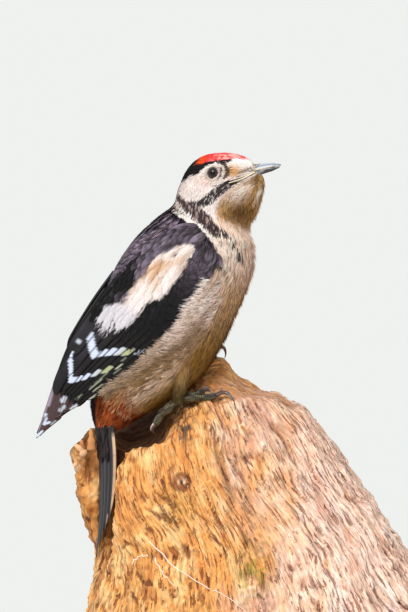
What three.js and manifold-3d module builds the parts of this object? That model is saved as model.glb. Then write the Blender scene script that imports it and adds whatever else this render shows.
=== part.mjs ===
// A juvenile great spotted woodpecker, life size, clinging to the broken top of an old conifer stump.
// The cut piece of stump stands on two short rods over a flat base.
//
// Units are millimetres, +Z is up, and the origin is on the underside of the base.
// The bird is built in a frame of its own: x forward along its heading, y to its left, z the height
// above the floor. The head has a frame like it, turned at the neck.
import * as THREE from "three";
import { mergeVertices } from "three/addons/utils/BufferGeometryUtils.js";
import Module from "manifold-3d";

const wasm = await Module();
wasm.setup();

// ---------------------------------------------------------------- driving dimensions
const GAP = 0.3; // clearance between neighbouring solids
const PERCH_CLEAR = 1; // clearance between the plumage and the wood
const BODY_AT_X = -45; // where the bird's own frame stands
const HEADING = THREE.MathUtils.degToRad(10); // the body is turned left of +X
const HEAD_TURN = THREE.MathUtils.degToRad(-30); // the head is turned back to the right
const NECK_PIVOT_X = 17.2; // the axis the head turns about

const FACE = { fromX: 27, length: 18, narrowing: 0.44 }; // how the head narrows towards the bill
const EYE = { x: 8.5, side: 10.4, z: 262.4, radius: 4.2 };
const BILL = {
  gape: [15.6, 259.4], // the mouth's corner, [x, z]
  tip: [41, 266.3],
  overbite: 0.8,
  halfWidth: 4.3,
  upper: { root: 4.4, tip: 1.4 }, // depth of each half above and below the mouth's line
  lower: { root: 3.5, tip: 1.7 },
};

const BASE = { length: 190, width: 118, thick: 12, edge: 2 };
const ROD = { radius: 4, spread: 84, socketInBase: 6, socketInPerch: 14, sides: 14 };

// ---------------------------------------------------------------- small tools
const clamp01 = (x) => Math.min(1, Math.max(0, x));
const lerp = (a, b, t) => a + (b - a) * t;
const smooth = (t) => clamp01(t) ** 2 * (3 - 2 * clamp01(t));
const bell = (x, width) => Math.exp(-((x / width) ** 2));

// A smooth value through a row of numbers, with t from 0 to 1.
function through(values, t) {
  const x = clamp01(t) * (values.length - 1);
  const i = Math.min(Math.floor(x), values.length - 2);
  const at = (k) => values[Math.min(Math.max(k, 0), values.length - 1)];
  const [a, b, c, d] = [at(i - 1), at(i), at(i + 1), at(i + 2)];
  const f = x - i;
  const slope = c - a;
  const bend = 2 * a - 5 * b + 4 * c - d;
  const twist = 3 * b - a - 3 * c + d;
  return b + 0.5 * f * (slope + f * (bend + f * twist));
}

// A closed geometry as a manifold solid, turned to face out.
function solidOf(geometry) {
  const bare = geometry.clone();
  bare.deleteAttribute("normal");
  bare.deleteAttribute("uv");
  const merged = mergeVertices(bare, 1e-3);
  const build = (index) =>
    new wasm.Manifold(
      new wasm.Mesh({ numProp: 3, vertProperties: merged.attributes.position.array, triVerts: index }),
    );
  const index = new Uint32Array(merged.index.array);
  const solid = build(index);
  return solid.volume() > 0 ? solid : build(index.reverse());
}

function geometryOf(solid) {
  const mesh = solid.getMesh();
  const geometry = new THREE.BufferGeometry()
    .setAttribute("position", new THREE.BufferAttribute(new Float32Array(mesh.vertProperties), 3))
    .setIndex(new THREE.BufferAttribute(new Uint32Array(mesh.triVerts), 1));
  geometry.computeVertexNormals();
  return geometry;
}

// The largest of the bodies that a cut leaves.
const mainBody = (solid) => solid.decompose().sort((a, b) => b.volume() - a.volume())[0];

// A closed ball whose grid of (around, along) is laid on any surface.
function wrapped(around, along, pointAt) {
  const ball = new THREE.SphereGeometry(1, around, along);
  const place = ball.attributes.position;
  for (let i = 0; i < place.count; i++) {
    const u = (i % (around + 1)) / around;
    const v = Math.floor(i / (around + 1)) / along;
    place.setXYZ(i, ...pointAt(u % 1, v).toArray());
  }
  return ball;
}

// A tube along points, of an oval section that changes along it, with closed ends. `across` is the
// direction its width lies in; without one, its width is level.
function tube(points, wide, deep, sides, steps, across = null) {
  const path = new THREE.CatmullRomCurve3(points.map((p) => new THREE.Vector3(...p)));
  const run = path.points.at(-1).clone().sub(path.points[0]);
  const level = across ?? new THREE.Vector3(-run.y, run.x, 0).normalize();
  const rod = new THREE.CylinderGeometry(1, 1, 1, sides, steps);
  const place = rod.attributes.position;
  const v = new THREE.Vector3();
  for (let i = 0; i < place.count; i++) {
    v.fromBufferAttribute(place, i);
    const t = clamp01(v.y + 0.5);
    const along = path.getTangentAt(t);
    const side = level.clone().addScaledVector(along, -level.dot(along)).normalize();
    const up = new THREE.Vector3().crossVectors(along, side);
    const at = path.getPointAt(t).addScaledVector(side, v.x * wide(t)).addScaledVector(up, v.z * deep(t));
    place.setXYZ(i, ...at.toArray());
  }
  return rod;
}

// ---------------------------------------------------------------- head, neck and trunk
// Sections from the bill's root to the tail's root. Each runs from a point on the back line to one on
// the throat and belly line, [x, z], and is `half` wide each way. `turn` is its share of the head's turn.
const SECTIONS = [
  { back: [43.4, 266.2], front: [48.6, 260.8], half: 3.2, turn: 1 }, // bill root
  { back: [41.8, 269.2], front: [49.0, 257.6], half: 6.6, turn: 1 }, // brow and chin
  { back: [36.6, 272.0], front: [48.6, 253.4], half: 10.6, turn: 1 },
  { back: [27.2, 273.3], front: [47.2, 248.8], half: 13.2, turn: 1 }, // eyes
  { back: [16.2, 271.6], front: [45.4, 243.6], half: 14.8, turn: 1 }, // cheeks
  { back: [8.2, 265.2], front: [43.0, 239.4], half: 15.0, turn: 0.96 }, // nape
  { back: [3.2, 254.5], front: [40.0, 236.0], half: 14.2, turn: 0.8 },
  { back: [0.8, 246.6], front: [39.5, 232.0], half: 15.2, turn: 0.5 }, // collar
  { back: [-8.0, 239.6], front: [42.2, 224.5], half: 18.6, turn: 0.2 }, // shoulders
  { back: [-20.2, 228.0], front: [42.2, 214.5], half: 21.6, turn: 0 },
  { back: [-30.4, 212.0], front: [38.4, 203.0], half: 23.2, turn: 0 }, // breast
  { back: [-36.6, 194.0], front: [32.2, 189.5], half: 23.6, turn: 0 },
  { back: [-39.8, 176.0], front: [24.0, 172.5], half: 22.6, turn: 0 }, // belly
  { back: [-41.4, 160.0], front: [10.5, 155.0], half: 19.4, turn: 0 },
  { back: [-42.0, 148.0], front: [-11.0, 142.0], half: 14.0, turn: 0 }, // vent
  { back: [-40.6, 137.0], front: [-29.0, 131.5], half: 7.4, turn: 0 },
  { back: [-37.4, 128.5], front: [-33.6, 127.5], half: 2.4, turn: 0 }, // tips of the under-tail coverts
];
const column = (read) => SECTIONS.map(read);
const BACK_X = column((s) => s.back[0]);
const BACK_Z = column((s) => s.back[1]);
const FRONT_X = column((s) => s.front[0]);
const FRONT_Z = column((s) => s.front[1]);
const HALF = column((s) => s.half);
const TURN = column((s) => s.turn);

// A point of the feathered outline: `around` from 0 on the back through the left side to 1,
// `along` from the bill's root to the tail's, `grow` outwards.
function bodyPoint(around, along, grow = 0) {
  const back = new THREE.Vector2(through(BACK_X, along), through(BACK_Z, along));
  const front = new THREE.Vector2(through(FRONT_X, along), through(FRONT_Z, along));
  const angle = around * 2 * Math.PI;
  const rise = back.clone().sub(front).multiplyScalar(0.5);
  const reach = rise.length() + grow;
  const middle = back.clone().add(front).multiplyScalar(0.5);
  const spot = middle.addScaledVector(rise.normalize(), Math.cos(angle) * reach);
  const share = clamp01(through(TURN, along));
  const wedge = 1 - FACE.narrowing * share * smooth((spot.x - FACE.fromX) / FACE.length);
  const side = Math.sin(angle) * (through(HALF, along) * wedge + grow);
  const turn = HEAD_TURN * share;
  const ahead = spot.x - NECK_PIVOT_X;
  return new THREE.Vector3(
    NECK_PIVOT_X + ahead * Math.cos(turn) - side * Math.sin(turn),
    ahead * Math.sin(turn) + side * Math.cos(turn),
    spot.y,
  );
}

// The closed body. The first and last rings draw in to one point each.
function bodySolid(grow, around = 22, along = 31) {
  const skin = wrapped(around, along, (u, v) => {
    const inner = clamp01((v * along - 0.5) / (along - 1));
    const end = v === 0 || v === 1;
    if (!end) return bodyPoint(u, inner, grow);
    return bodyPoint(0, v, grow).add(bodyPoint(0.5, v, grow)).multiplyScalar(0.5);
  });
  return solidOf(skin);
}

// A thin slab across the body, from one section line to the next, that parts two of its lengths.
function partingSlab(along) {
  const [top, foot] = [bodyPoint(0, along), bodyPoint(0.5, along)];
  const middle = top.clone().add(foot).multiplyScalar(0.5);
  const side = bodyPoint(0.25, along).sub(middle).normalize();
  const up = top.clone().sub(foot).normalize();
  const across = new THREE.Vector3().crossVectors(side, up);
  const slab = new THREE.BoxGeometry(90, 90, GAP);
  slab.applyMatrix4(new THREE.Matrix4().makeBasis(side, up, across).setPosition(middle));
  return solidOf(slab);
}

// ---------------------------------------------------------------- head parts, in the head's frame
function headFrame(geometry) {
  return geometry.applyMatrix4(
    new THREE.Matrix4().makeRotationZ(HEAD_TURN).setPosition(NECK_PIVOT_X, 0, 0),
  );
}

function eyeball(side, grow = 0) {
  const ball = new THREE.SphereGeometry(EYE.radius + grow, 11, 7);
  ball.rotateX(Math.PI / 2).translate(EYE.x, side * EYE.side, EYE.z);
  return headFrame(ball);
}

// Half of the bill: rise is 1 for the upper mandible and -1 for the lower. Its flat face lies on the
// line of the mouth, and its back runs nearly straight to a blunt chisel tip.
function mandible(rise, grow = 0) {
  const half = rise > 0 ? BILL.upper : BILL.lower;
  const length = BILL.tip[0] - BILL.gape[0] - (rise > 0 ? 0 : BILL.overbite);
  const [sides, steps] = [10, 9];
  const shape = wrapped(sides, steps, (u, v) => {
    const end = v === 0 || v === 1;
    const x = BILL.gape[0] + length * v + (v === 0 ? -grow : 0) + (v === 1 ? grow : 0);
    const blunt = Math.sqrt(clamp01((1.04 - v) / 0.2));
    const mouth = lerp(BILL.tip[1], BILL.gape[1], (1 - v) ** 1.5) + rise * (GAP / 2 - grow);
    const angle = u * 2 * Math.PI;
    const outer = end ? 0.4 : Math.max(0, Math.sin(angle));
    const y = end ? 0 : Math.cos(angle) * (BILL.halfWidth * lerp(1, 0.3, v) * blunt + grow);
    const depth = lerp(half.root, half.tip, v) * blunt + 2 * grow;
    return new THREE.Vector3(x, y, mouth + rise * outer * depth);
  });
  return headFrame(shape);
}

// ---------------------------------------------------------------- wings
// Sections of a folded wing from the bend to the tip: the upper edge and the lower edge, [x, z], how far
// the inner face stands out at the upper edge, the middle and the lower edge, and the thickness.
const WING = [
  { top: [12.6, 237.0], low: [23.5, 226.0], out: [17.5, 19.4, 19.4], thick: 1.8 }, // bend
  { top: [-2.5, 233.6], low: [23.0, 214.6], out: [16.2, 22.0, 20.8], thick: 3.2 },
  { top: [-17.0, 223.8], low: [12.4, 198.2], out: [14.6, 23.4, 23.2], thick: 3.6 },
  { top: [-28.8, 209.6], low: [2.8, 184.0], out: [12.6, 23.2, 23.8], thick: 3.4 }, // greater coverts
  { top: [-40.6, 192.4], low: [-12.6, 170.7], out: [10.0, 19.8, 22.6], thick: 3.0 },
  { top: [-52.2, 173.8], low: [-31.0, 157.0], out: [8.2, 14.4, 16.6], thick: 2.4 }, // secondaries' tips
  { top: [-59.2, 158.8], low: [-46.4, 145.6], out: [6.4, 9.6, 10.4], thick: 1.8 },
  { top: [-65.0, 142.8], low: [-57.0, 138.9], out: [4.8, 6.2, 6.4], thick: 1.2 },
  { top: [-71.0, 128.6], low: [-70.2, 127.2], out: [3.2, 3.6, 3.6], thick: 0.7 }, // primaries' tip
];
const wingRow = (read, t) => through(WING.map(read), t);
const TUCK = [3.2, 2.2]; // how far forward and up the left wing's tip is drawn in behind the right's

// A point of the wing: `across` from the upper edge to the lower, `along` from the bend to the tip.
// `cover` is 0 on the inner face, which lies on the body, and 1 on the outer.
function wingPoint(side, across, along, cover) {
  const [x, z] = [0, 1].map((k) => {
    const tuck = side > 0 ? TUCK[k] * smooth(along * 1.7 - 0.35) : 0;
    return lerp(wingRow((s) => s.top[k], along), wingRow((s) => s.low[k], along), across) + tuck;
  });
  const [upper, middle, lower] = [0, 1, 2].map((k) => wingRow((s) => s.out[k], along));
  const bulge = 4 * across * (1 - across) * (middle - (upper + lower) / 2);
  const edge = Math.sqrt(Math.sin(Math.PI * lerp(0.06, 0.94, across)));
  const out = lerp(upper, lower, across) + bulge + cover * edge * wingRow((s) => s.thick, along);
  return new THREE.Vector3(x, side * out, z);
}

function wing(side, trunk) {
  const [around, along] = [14, 16];
  const shell = wrapped(around, along, (u, v) => {
    const inside = u >= 0.5;
    const across = inside ? 2 - 2 * u : 2 * u;
    const length = clamp01((v * along - 0.5) / (along - 1));
    if (v === 0 || v === 1) return wingPoint(side, 0.5, v, 0.5);
    return wingPoint(side, across, length, inside ? 0 : 1);
  });
  return mainBody(solidOf(shell).subtract(trunk));
}

// ---------------------------------------------------------------- tail
// Five pairs of stiff pointed feathers, laid down the two sides of a roof whose ridge is the middle pair.
const TAIL = {
  pairs: 5,
  rootZ: 139,
  tipZ: 66.4,
  stepZ: 4.4, // how much shorter each pair is than the last
  notch: 9, // how far the gaps between the points reach up
  roof: 8.8, // radius of the roof
  fan: 0.27, // the angle that each feather takes of the roof
  thick: 1.3,
};
const TAIL_LINE = [-39.4, -38.0, -37.4, -37.8, -39.2]; // x of the ridge from root to tip

function tail(grow = 0) {
  const sheet = new THREE.BoxGeometry(1, 1, 1, 4 * TAIL.pairs, 6, 1);
  const spot = sheet.attributes.position;
  for (let i = 0; i < spot.count; i++) {
    const count = spot.getX(i) * 2 * TAIL.pairs; // the place across the roof, counted in feathers
    const beside = (Math.abs(count) % 1) * 2 - 1;
    const notch = grow > 0 ? 0 : TAIL.notch * beside ** 2;
    const tip = TAIL.tipZ + TAIL.stepZ * Math.abs(count) + notch - grow;
    const z = lerp(TAIL.rootZ + grow, tip, 0.5 - spot.getY(i));
    const whole = clamp01((TAIL.rootZ - z) / (TAIL.rootZ - TAIL.tipZ));
    const angle = count * TAIL.fan * (1 - 0.32 * smooth(whole * 1.3 - 0.3)) * (1 + grow * 0.06);
    const inside = spot.getZ(i) < 0 ? TAIL.thick * lerp(1, 0.6, whole) + grow : -grow;
    const ridge = through(TAIL_LINE, whole) + TAIL.roof;
    const reach = TAIL.roof - inside;
    spot.setXYZ(i, ridge - reach * Math.cos(angle), reach * Math.sin(angle), z);
  }
  return sheet;
}

// ---------------------------------------------------------------- legs and feet
// Joints in the bird's frame. Each toe runs from the foot's joint, and its claw from the toe's end.
const LEGS = {
  right: {
    knee: [5, -12.5, 172],
    ankle: [-8.5, -13.6, 151.5],
    foot: [4.0, -16.0, 149.4],
    toes: {
      outer_front: {
        path: [[12, -17.2, 150.6], [20, -17.8, 150.4], [24.6, -18, 150.2]],
        claw: [7.0, -0.6, -8.2],
      },
      inner_front: {
        path: [[9.8, -12.2, 151.0], [16, -10.2, 151.2], [20.2, -9, 151.0]],
        claw: [6.2, 0.6, -6.6],
      },
      outer_back: {
        path: [[0.4, -17.8, 146.2], [-3.6, -19.0, 142], [-7.0, -19.6, 137.4]],
        claw: [-0.8, -0.4, -9.8],
      },
      hallux: {
        path: [[0.6, -13.6, 147.8], [-3.0, -12.2, 145.8], [-5.4, -11.6, 143.6]],
        claw: [-2.6, 0, -4.6],
      },
    },
  },
  left: {
    knee: [12, 13.5, 180],
    ankle: [3.5, 14, 163],
    foot: [15.0, 15, 169.6],
    toes: {
      outer_front: {
        path: [[20, 16.4, 172.8], [24, 17.2, 174.4], [27, 17.6, 173.8]],
        claw: [3.8, 2.0, -5.4],
      },
      inner_front: {
        path: [[18, 12.0, 170.2], [20, 10.8, 170.2], [21.8, 10, 169.4]],
        claw: [2.6, -0.6, -6.0],
      },
      outer_back: {
        path: [[13.4, 19.6, 167.6], [12.4, 23.6, 164.6], [11.8, 26.6, 160.6]],
        claw: [-0.4, 1.6, -8.2],
      },
      hallux: {
        path: [[11.8, 14.6, 166.4], [9.6, 14.4, 164.0], [8.2, 14.4, 161.6]],
        claw: [-1.6, 0, -4.6],
      },
    },
  },
};
const TOE = { root: 1.85, tip: 1.55, clawRoot: 1.35, clawTip: 0.3 };
const TARSUS = { top: 1.7, foot: 1.9 };
const THIGH = { top: 7.4, foot: 3.0 };

const scaled = (name, size) => (name === "hallux" ? size * 0.8 : size);

function toe(leg, name, grow = 0) {
  const plan = leg.toes[name];
  const pads = (t) => 1 + 0.1 * Math.cos(t * 4 * Math.PI);
  const swell = (t) => scaled(name, lerp(TOE.root, TOE.tip, t) * pads(t)) + grow;
  return tube([leg.foot, ...plan.path], swell, (t) => swell(t) * 0.9, 7, 6);
}

// A claw: a curved cone that leaves the toe level and hooks over to its point.
function claw(leg, name, grow = 0) {
  const plan = leg.toes[name];
  const start = new THREE.Vector3(...plan.path[2]);
  const back = new THREE.Vector3(...plan.path[1]);
  const ahead = start.clone().sub(back).normalize();
  const span = new THREE.Vector3(...plan.claw);
  const first = start.clone().addScaledVector(ahead, 0.9 - grow);
  const level = first.clone().addScaledVector(ahead, span.length() * 0.42);
  level.z += 0.5;
  const hook = start.clone().addScaledVector(span, 0.72).addScaledVector(ahead, 1.5);
  const point = start.clone().add(span);
  const size = (t) => scaled(name, lerp(TOE.clawRoot, TOE.clawTip, t ** 0.85)) + grow;
  const points = [first, level, hook, point].map((p) => p.toArray());
  return tube(points, (t) => size(t) * 0.7, size, 6, 4);
}

function tarsus(leg, grow = 0) {
  const size = (t) => lerp(TARSUS.top, TARSUS.foot, t) + grow;
  const middle = leg.ankle.map((c, i) => (c + leg.foot[i]) / 2);
  return tube([leg.ankle, middle, leg.foot], size, size, 8, 3);
}

// The feathered thigh: an egg about the knee that narrows to the ankle.
function thigh(leg, grow = 0) {
  const size = (t) => {
    const dome = Math.sqrt(clamp01(1 - (1 - (t + 0.06) / 0.4) ** 2 * (t < 0.34 ? 1 : 0)));
    return lerp(THIGH.top, THIGH.foot, smooth(t * 1.25 - 0.25)) * dome + grow;
  };
  const head = leg.knee.map((c, i) => c + (c - leg.ankle[i]) * 0.3);
  return tube([head, leg.knee, leg.ankle], size, size, 10, 7, new THREE.Vector3(0, 1, 0));
}

// ---------------------------------------------------------------- perch
// The stump is a flared side, given by its reach at each height, under a broken top.
const SIDE = [
  { z: 34, left: -89, right: 95, near: -58, far: 60 }, // sawn foot
  { z: 48, left: -85, right: 86, near: -53, far: 56 },
  { z: 70, left: -83, right: 75, near: -46, far: 50 },
  { z: 88, left: -89, right: 63, near: -40, far: 46 },
  { z: 106, left: -94, right: 50, near: -34, far: 43 },
  { z: 124, left: -95, right: 37.5, near: -28, far: 41 },
  { z: 140, left: -90, right: 25.5, near: -21.5, far: 39 },
  { z: 158, left: -84, right: 10, near: -17, far: 36 },
  { z: 178, left: -76, right: -8, near: -13, far: 32 },
];
const SQUARENESS = 2.5; // how far the plan leans from an ellipse to a box

// Heights of the broken top over x: along its near rim, and along the ridge behind the bird's feet.
const TOP_X = [-98, 22];
const NEAR_RIM = [121, 126, 127, 122, 123, 126, 140, 145, 146, 147, 147.5, 146, 142];
const RIDGE = [122, 133, 133, 140, 148, 155, 163, 169.5, 170, 157.5, 152.8, 150.5, 142];
const RIDGE_Y = 19;
const RIM_Y = -19;

const sideRow = (key, z) => {
  const i = Math.max(0, Math.min(SIDE.findIndex((s) => s.z >= z) - 1, SIDE.length - 2));
  const k = z >= SIDE.at(-1).z ? SIDE.length - 2 : i;
  const f = clamp01((z - SIDE[k].z) / (SIDE[k + 1].z - SIDE[k].z));
  return through(SIDE.map((s) => s[key]), (k + f) / (SIDE.length - 1));
};

function topHeight(x, y) {
  const along = (x - TOP_X[0]) / (TOP_X[1] - TOP_X[0]);
  const across = smooth((y - RIM_Y) / (RIDGE_Y - RIM_Y));
  const hollow = -17 * bell(x + 60, 17) * bell(y + 1, 11);
  const behind = -0.55 * Math.max(0, y - RIDGE_Y - 2);
  const splinters = 1.4 * Math.sin(x * 0.9 + y * 0.25) * Math.sin(y * 0.45 - x * 0.1);
  return lerp(through(NEAR_RIM, along), through(RIDGE, along), across) + hollow + behind + splinters;
}

// A point of the side at a bearing: 0 is +X and 90 degrees is +Y.
function sidePoint(bearing, z) {
  const [c, s] = [Math.cos(bearing), Math.sin(bearing)];
  const [left, right, near, far] = ["left", "right", "near", "far"].map((key) => sideRow(key, z));
  const middle = new THREE.Vector2((left + right) / 2, 4);
  const half = { x: (right - left) / 2, y: s > 0 ? far - middle.y : middle.y - near };
  const round = (Math.abs(c) ** SQUARENESS + Math.abs(s) ** SQUARENESS) ** (-1 / SQUARENESS);
  const furrows = 1.4 * Math.sin(bearing * 11 + 0.8) + 1.0 * Math.sin(bearing * 23 - z * 0.02);
  const rough = 1 + (furrows * Math.min(1, Math.abs(s) * 2.5)) / Math.hypot(half.x * c, half.y * s);
  return new THREE.Vector3(middle.x + c * round * half.x * rough, middle.y + s * round * half.y * rough, z);
}

function stump() {
  const [around, rings] = [38, 9];
  const [foot, crest] = [SIDE[0].z, SIDE.at(-1).z];
  const side = wrapped(around, rings + 1, (u, v) => {
    const ring = Math.round(v * (rings + 1));
    const z = lerp(foot, crest, (ring - 1) / (rings - 1));
    if (ring > 0 && ring <= rings) return sidePoint(-u * 2 * Math.PI, z);
    const level = ring ? crest : foot;
    return sidePoint(0, level).add(sidePoint(Math.PI, level)).multiplyScalar(0.5);
  });
  const [cols, rows] = [22, 9];
  const [width, depth] = [212, 136];
  const block = new THREE.BoxGeometry(width, depth, 1, cols, rows, 1);
  const place = block.attributes.position;
  for (let i = 0; i < place.count; i++) {
    const [x, y] = [place.getX(i), place.getY(i) + 2];
    place.setXYZ(i, x, y, place.getZ(i) > 0 ? topHeight(x, y) : foot - 10);
  }
  return solidOf(side).intersect(solidOf(block));
}

// The hollow down the stump's near left corner that the tail hangs in, with a torn lobe behind it.
function tailHollow() {
  const points = [[-83, -17, 165], [-83, -15.5, 128], [-82.5, -14.5, 96], [-86, -15.5, 70], [-93, -20, 50]];
  const size = (t) => 15.5 - 3 * smooth(t * 1.6 - 0.6);
  return tube(points, size, size, 12, 7);
}

// ---------------------------------------------------------------- stand
function standBase() {
  const [l, w, e] = [BASE.length / 2, BASE.width / 2, 10];
  const outline = new THREE.Shape();
  outline.moveTo(-l + e, -w).lineTo(l - e, -w).absarc(l - e, -w + e, e, -Math.PI / 2, 0);
  outline.absarc(l - e, w - e, e, 0, Math.PI / 2).absarc(-l + e, w - e, e, Math.PI / 2, Math.PI);
  outline.absarc(-l + e, -w + e, e, Math.PI, 1.5 * Math.PI);
  const slab = new THREE.ExtrudeGeometry(outline, {
    depth: BASE.thick - 2 * BASE.edge,
    bevelThickness: BASE.edge,
    bevelSize: BASE.edge,
    bevelOffset: -BASE.edge,
    bevelSegments: 1,
    curveSegments: 3,
  });
  return slab.translate(0, 0, BASE.edge);
}

function rod(side, grow = 0) {
  const low = BASE.thick - ROD.socketInBase - grow;
  const high = SIDE[0].z + ROD.socketInPerch + grow;
  const pin = new THREE.CylinderGeometry(ROD.radius + grow, ROD.radius + grow, high - low, ROD.sides);
  return pin.rotateX(Math.PI / 2).translate((side * ROD.spread) / 2, 0, (low + high) / 2);
}

// ---------------------------------------------------------------- putting it together
const LOOKS = {
  pale_feather: { color: 0xd9c4aa, roughness: 0.85 },
  buff_feather: { color: 0xc9ae88, roughness: 0.85 },
  black_feather: { color: 0x2a2529, roughness: 0.6 },
  bill_horn: { color: 0x8b93a1, roughness: 0.4 },
  eye: { color: 0x1c1110, roughness: 0.08 },
  leg_scale: { color: 0x6b6650, roughness: 0.6 },
  claw_horn: { color: 0x574744, roughness: 0.4 },
  weathered_wood: { color: 0xd99a5b, roughness: 0.9 },
  stand_wood: { color: 0x4a352a, roughness: 0.45 },
  stand_steel: { color: 0xb8bac0, roughness: 0.3, metalness: 1 },
};
const materials = Object.fromEntries(
  Object.entries(LOOKS).map(([name, look]) => {
    return [name, new THREE.MeshStandardMaterial({ metalness: 0, ...look })];
  }),
);

function add(group, name, solid, look) {
  const mesh = new THREE.Mesh(geometryOf(solid), materials[look]);
  mesh.name = name;
  group.add(mesh);
}

const root = new THREE.Group();
const bird = new THREE.Group();
bird.position.set(BODY_AT_X, 0, 0);
bird.rotation.z = HEADING;
root.add(bird);

// The body is one form, parted at the nape and at the collar.
const HEAD_CUT = 0.315;
const NECK_CUT = 0.47;
const eyes = { right: -1, left: 1 };
const body = bodySolid(0);
const bodyRoom = bodySolid(GAP);
const lengths = body
  .subtract(partingSlab(HEAD_CUT))
  .subtract(partingSlab(NECK_CUT))
  .decompose()
  .map((solid) => ({ solid, height: solid.boundingBox().max[2] }))
  .sort((a, b) => b.height - a.height)
  .map((part) => part.solid);
let [head, neck, trunk] = lengths;
for (const side of Object.values(eyes)) head = head.subtract(solidOf(eyeball(side, GAP)));
for (const rise of [1, -1]) {
  head = head.subtract(solidOf(mandible(rise, GAP)));
  neck = neck.subtract(solidOf(mandible(rise, GAP)));
}
add(bird, "head", mainBody(head), "pale_feather");
add(bird, "neck", mainBody(neck), "pale_feather");
for (const [name, side] of Object.entries(eyes)) add(bird, `eye_${name}`, solidOf(eyeball(side)), "eye");
add(bird, "bill_upper", solidOf(mandible(1)), "bill_horn");
add(bird, "bill_lower", solidOf(mandible(-1)), "bill_horn");

// Legs, thighs and feet come first, because the trunk and the perch make room for them.
const toes = [];
let footRoom = null;
for (const [name, leg] of Object.entries(LEGS)) {
  const drumstick = solidOf(thigh(leg)).subtract(solidOf(tarsus(leg, GAP)));
  let taken = solidOf(tarsus(leg, GAP)).add(solidOf(thigh(leg, GAP)));
  trunk = trunk.subtract(taken);
  for (const which of Object.keys(leg.toes)) {
    const bare = solidOf(toe(leg, which)).subtract(taken);
    const tip = solidOf(claw(leg, which)).subtract(solidOf(toe(leg, which, GAP)));
    toes.push({ name: `toe_${name}_${which}`, solid: bare, look: "leg_scale" });
    toes.push({ name: `claw_${name}_${which}`, solid: tip, look: "claw_horn" });
    taken = taken.add(solidOf(toe(leg, which, GAP)));
    const room = taken.add(solidOf(claw(leg, which, GAP)));
    footRoom = footRoom ? footRoom.add(room) : room;
  }
  add(bird, `tarsus_${name}`, solidOf(tarsus(leg)), "leg_scale");
  add(bird, `thigh_${name}`, mainBody(drumstick), "buff_feather");
}
toes.forEach(({ name, solid, look }) => add(bird, name, mainBody(solid.subtract(bodyRoom)), look));
add(bird, "trunk", mainBody(trunk), "buff_feather");
const wingRoom = bodyRoom.add(footRoom);
add(bird, "wing_right", wing(-1, wingRoom), "black_feather");
add(bird, "wing_left", wing(1, wingRoom), "black_feather");
add(bird, "tail", mainBody(solidOf(tail()).subtract(bodyRoom)), "black_feather");

// The perch and the stand are in the model's own frame.
bird.updateMatrixWorld(true);
const place = (solid) => solid.transform(bird.matrixWorld.elements);
let perch = stump().subtract(solidOf(tailHollow()));
perch = perch.subtract(place(footRoom)).subtract(place(bodySolid(PERCH_CLEAR)));
perch = perch.subtract(place(solidOf(tail(PERCH_CLEAR))));
for (const side of [-1, 1]) perch = perch.subtract(solidOf(rod(side, GAP)));
add(root, "perch", mainBody(perch), "weathered_wood");
let plate = solidOf(standBase());
for (const side of [-1, 1]) {
  plate = plate.subtract(solidOf(rod(side, GAP)));
  add(root, side < 0 ? "stand_rod_left" : "stand_rod_right", solidOf(rod(side)), "stand_steel");
}
add(root, "stand_base", plate, "stand_wood");

export default root;
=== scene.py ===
# A juvenile great spotted woodpecker, mounted life size on the broken top of an old conifer stump.
import math

import bpy
import numpy as np
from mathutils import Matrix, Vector
from mathutils.bvhtree import BVHTree


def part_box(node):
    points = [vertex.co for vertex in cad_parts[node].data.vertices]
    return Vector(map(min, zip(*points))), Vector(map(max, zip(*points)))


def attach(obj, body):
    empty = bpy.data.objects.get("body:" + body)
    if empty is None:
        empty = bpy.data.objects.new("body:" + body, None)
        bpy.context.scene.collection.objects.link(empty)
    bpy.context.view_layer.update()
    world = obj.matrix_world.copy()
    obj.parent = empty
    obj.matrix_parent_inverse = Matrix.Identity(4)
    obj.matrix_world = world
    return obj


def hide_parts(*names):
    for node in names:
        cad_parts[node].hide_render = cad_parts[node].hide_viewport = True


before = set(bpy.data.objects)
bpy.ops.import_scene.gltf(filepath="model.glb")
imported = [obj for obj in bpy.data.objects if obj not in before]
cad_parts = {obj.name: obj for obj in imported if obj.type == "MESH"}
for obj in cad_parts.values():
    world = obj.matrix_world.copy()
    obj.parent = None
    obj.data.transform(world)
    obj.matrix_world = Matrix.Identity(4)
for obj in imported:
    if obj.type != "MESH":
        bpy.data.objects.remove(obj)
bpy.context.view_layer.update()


# ---------------------------------------------------------------- skin
# The tanned skin of head, neck, trunk and thighs, drawn over a carved body in one piece. It lies under the
# plumage by the depth of the feathers and carries the same markings, darker: painted shade where it shows
# between the feathers. It dips round the eyes, and swells at the brow, the ear coverts and the malar stripe,
# where real skulls and muscles fill it.
MM = 0.001
HEADING = math.radians(10)  # the body is turned left of +X
HEAD_TURN = math.radians(-30)  # the head is turned back to the right
NECK_PIVOT = 17.2
EYE = {"x": 8.5, "z": 262.4}
EYE_AHEAD = NECK_PIVOT + EYE["x"]
FACE = {"from": 27.0, "length": 18.0, "narrowing": 0.44}

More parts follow.
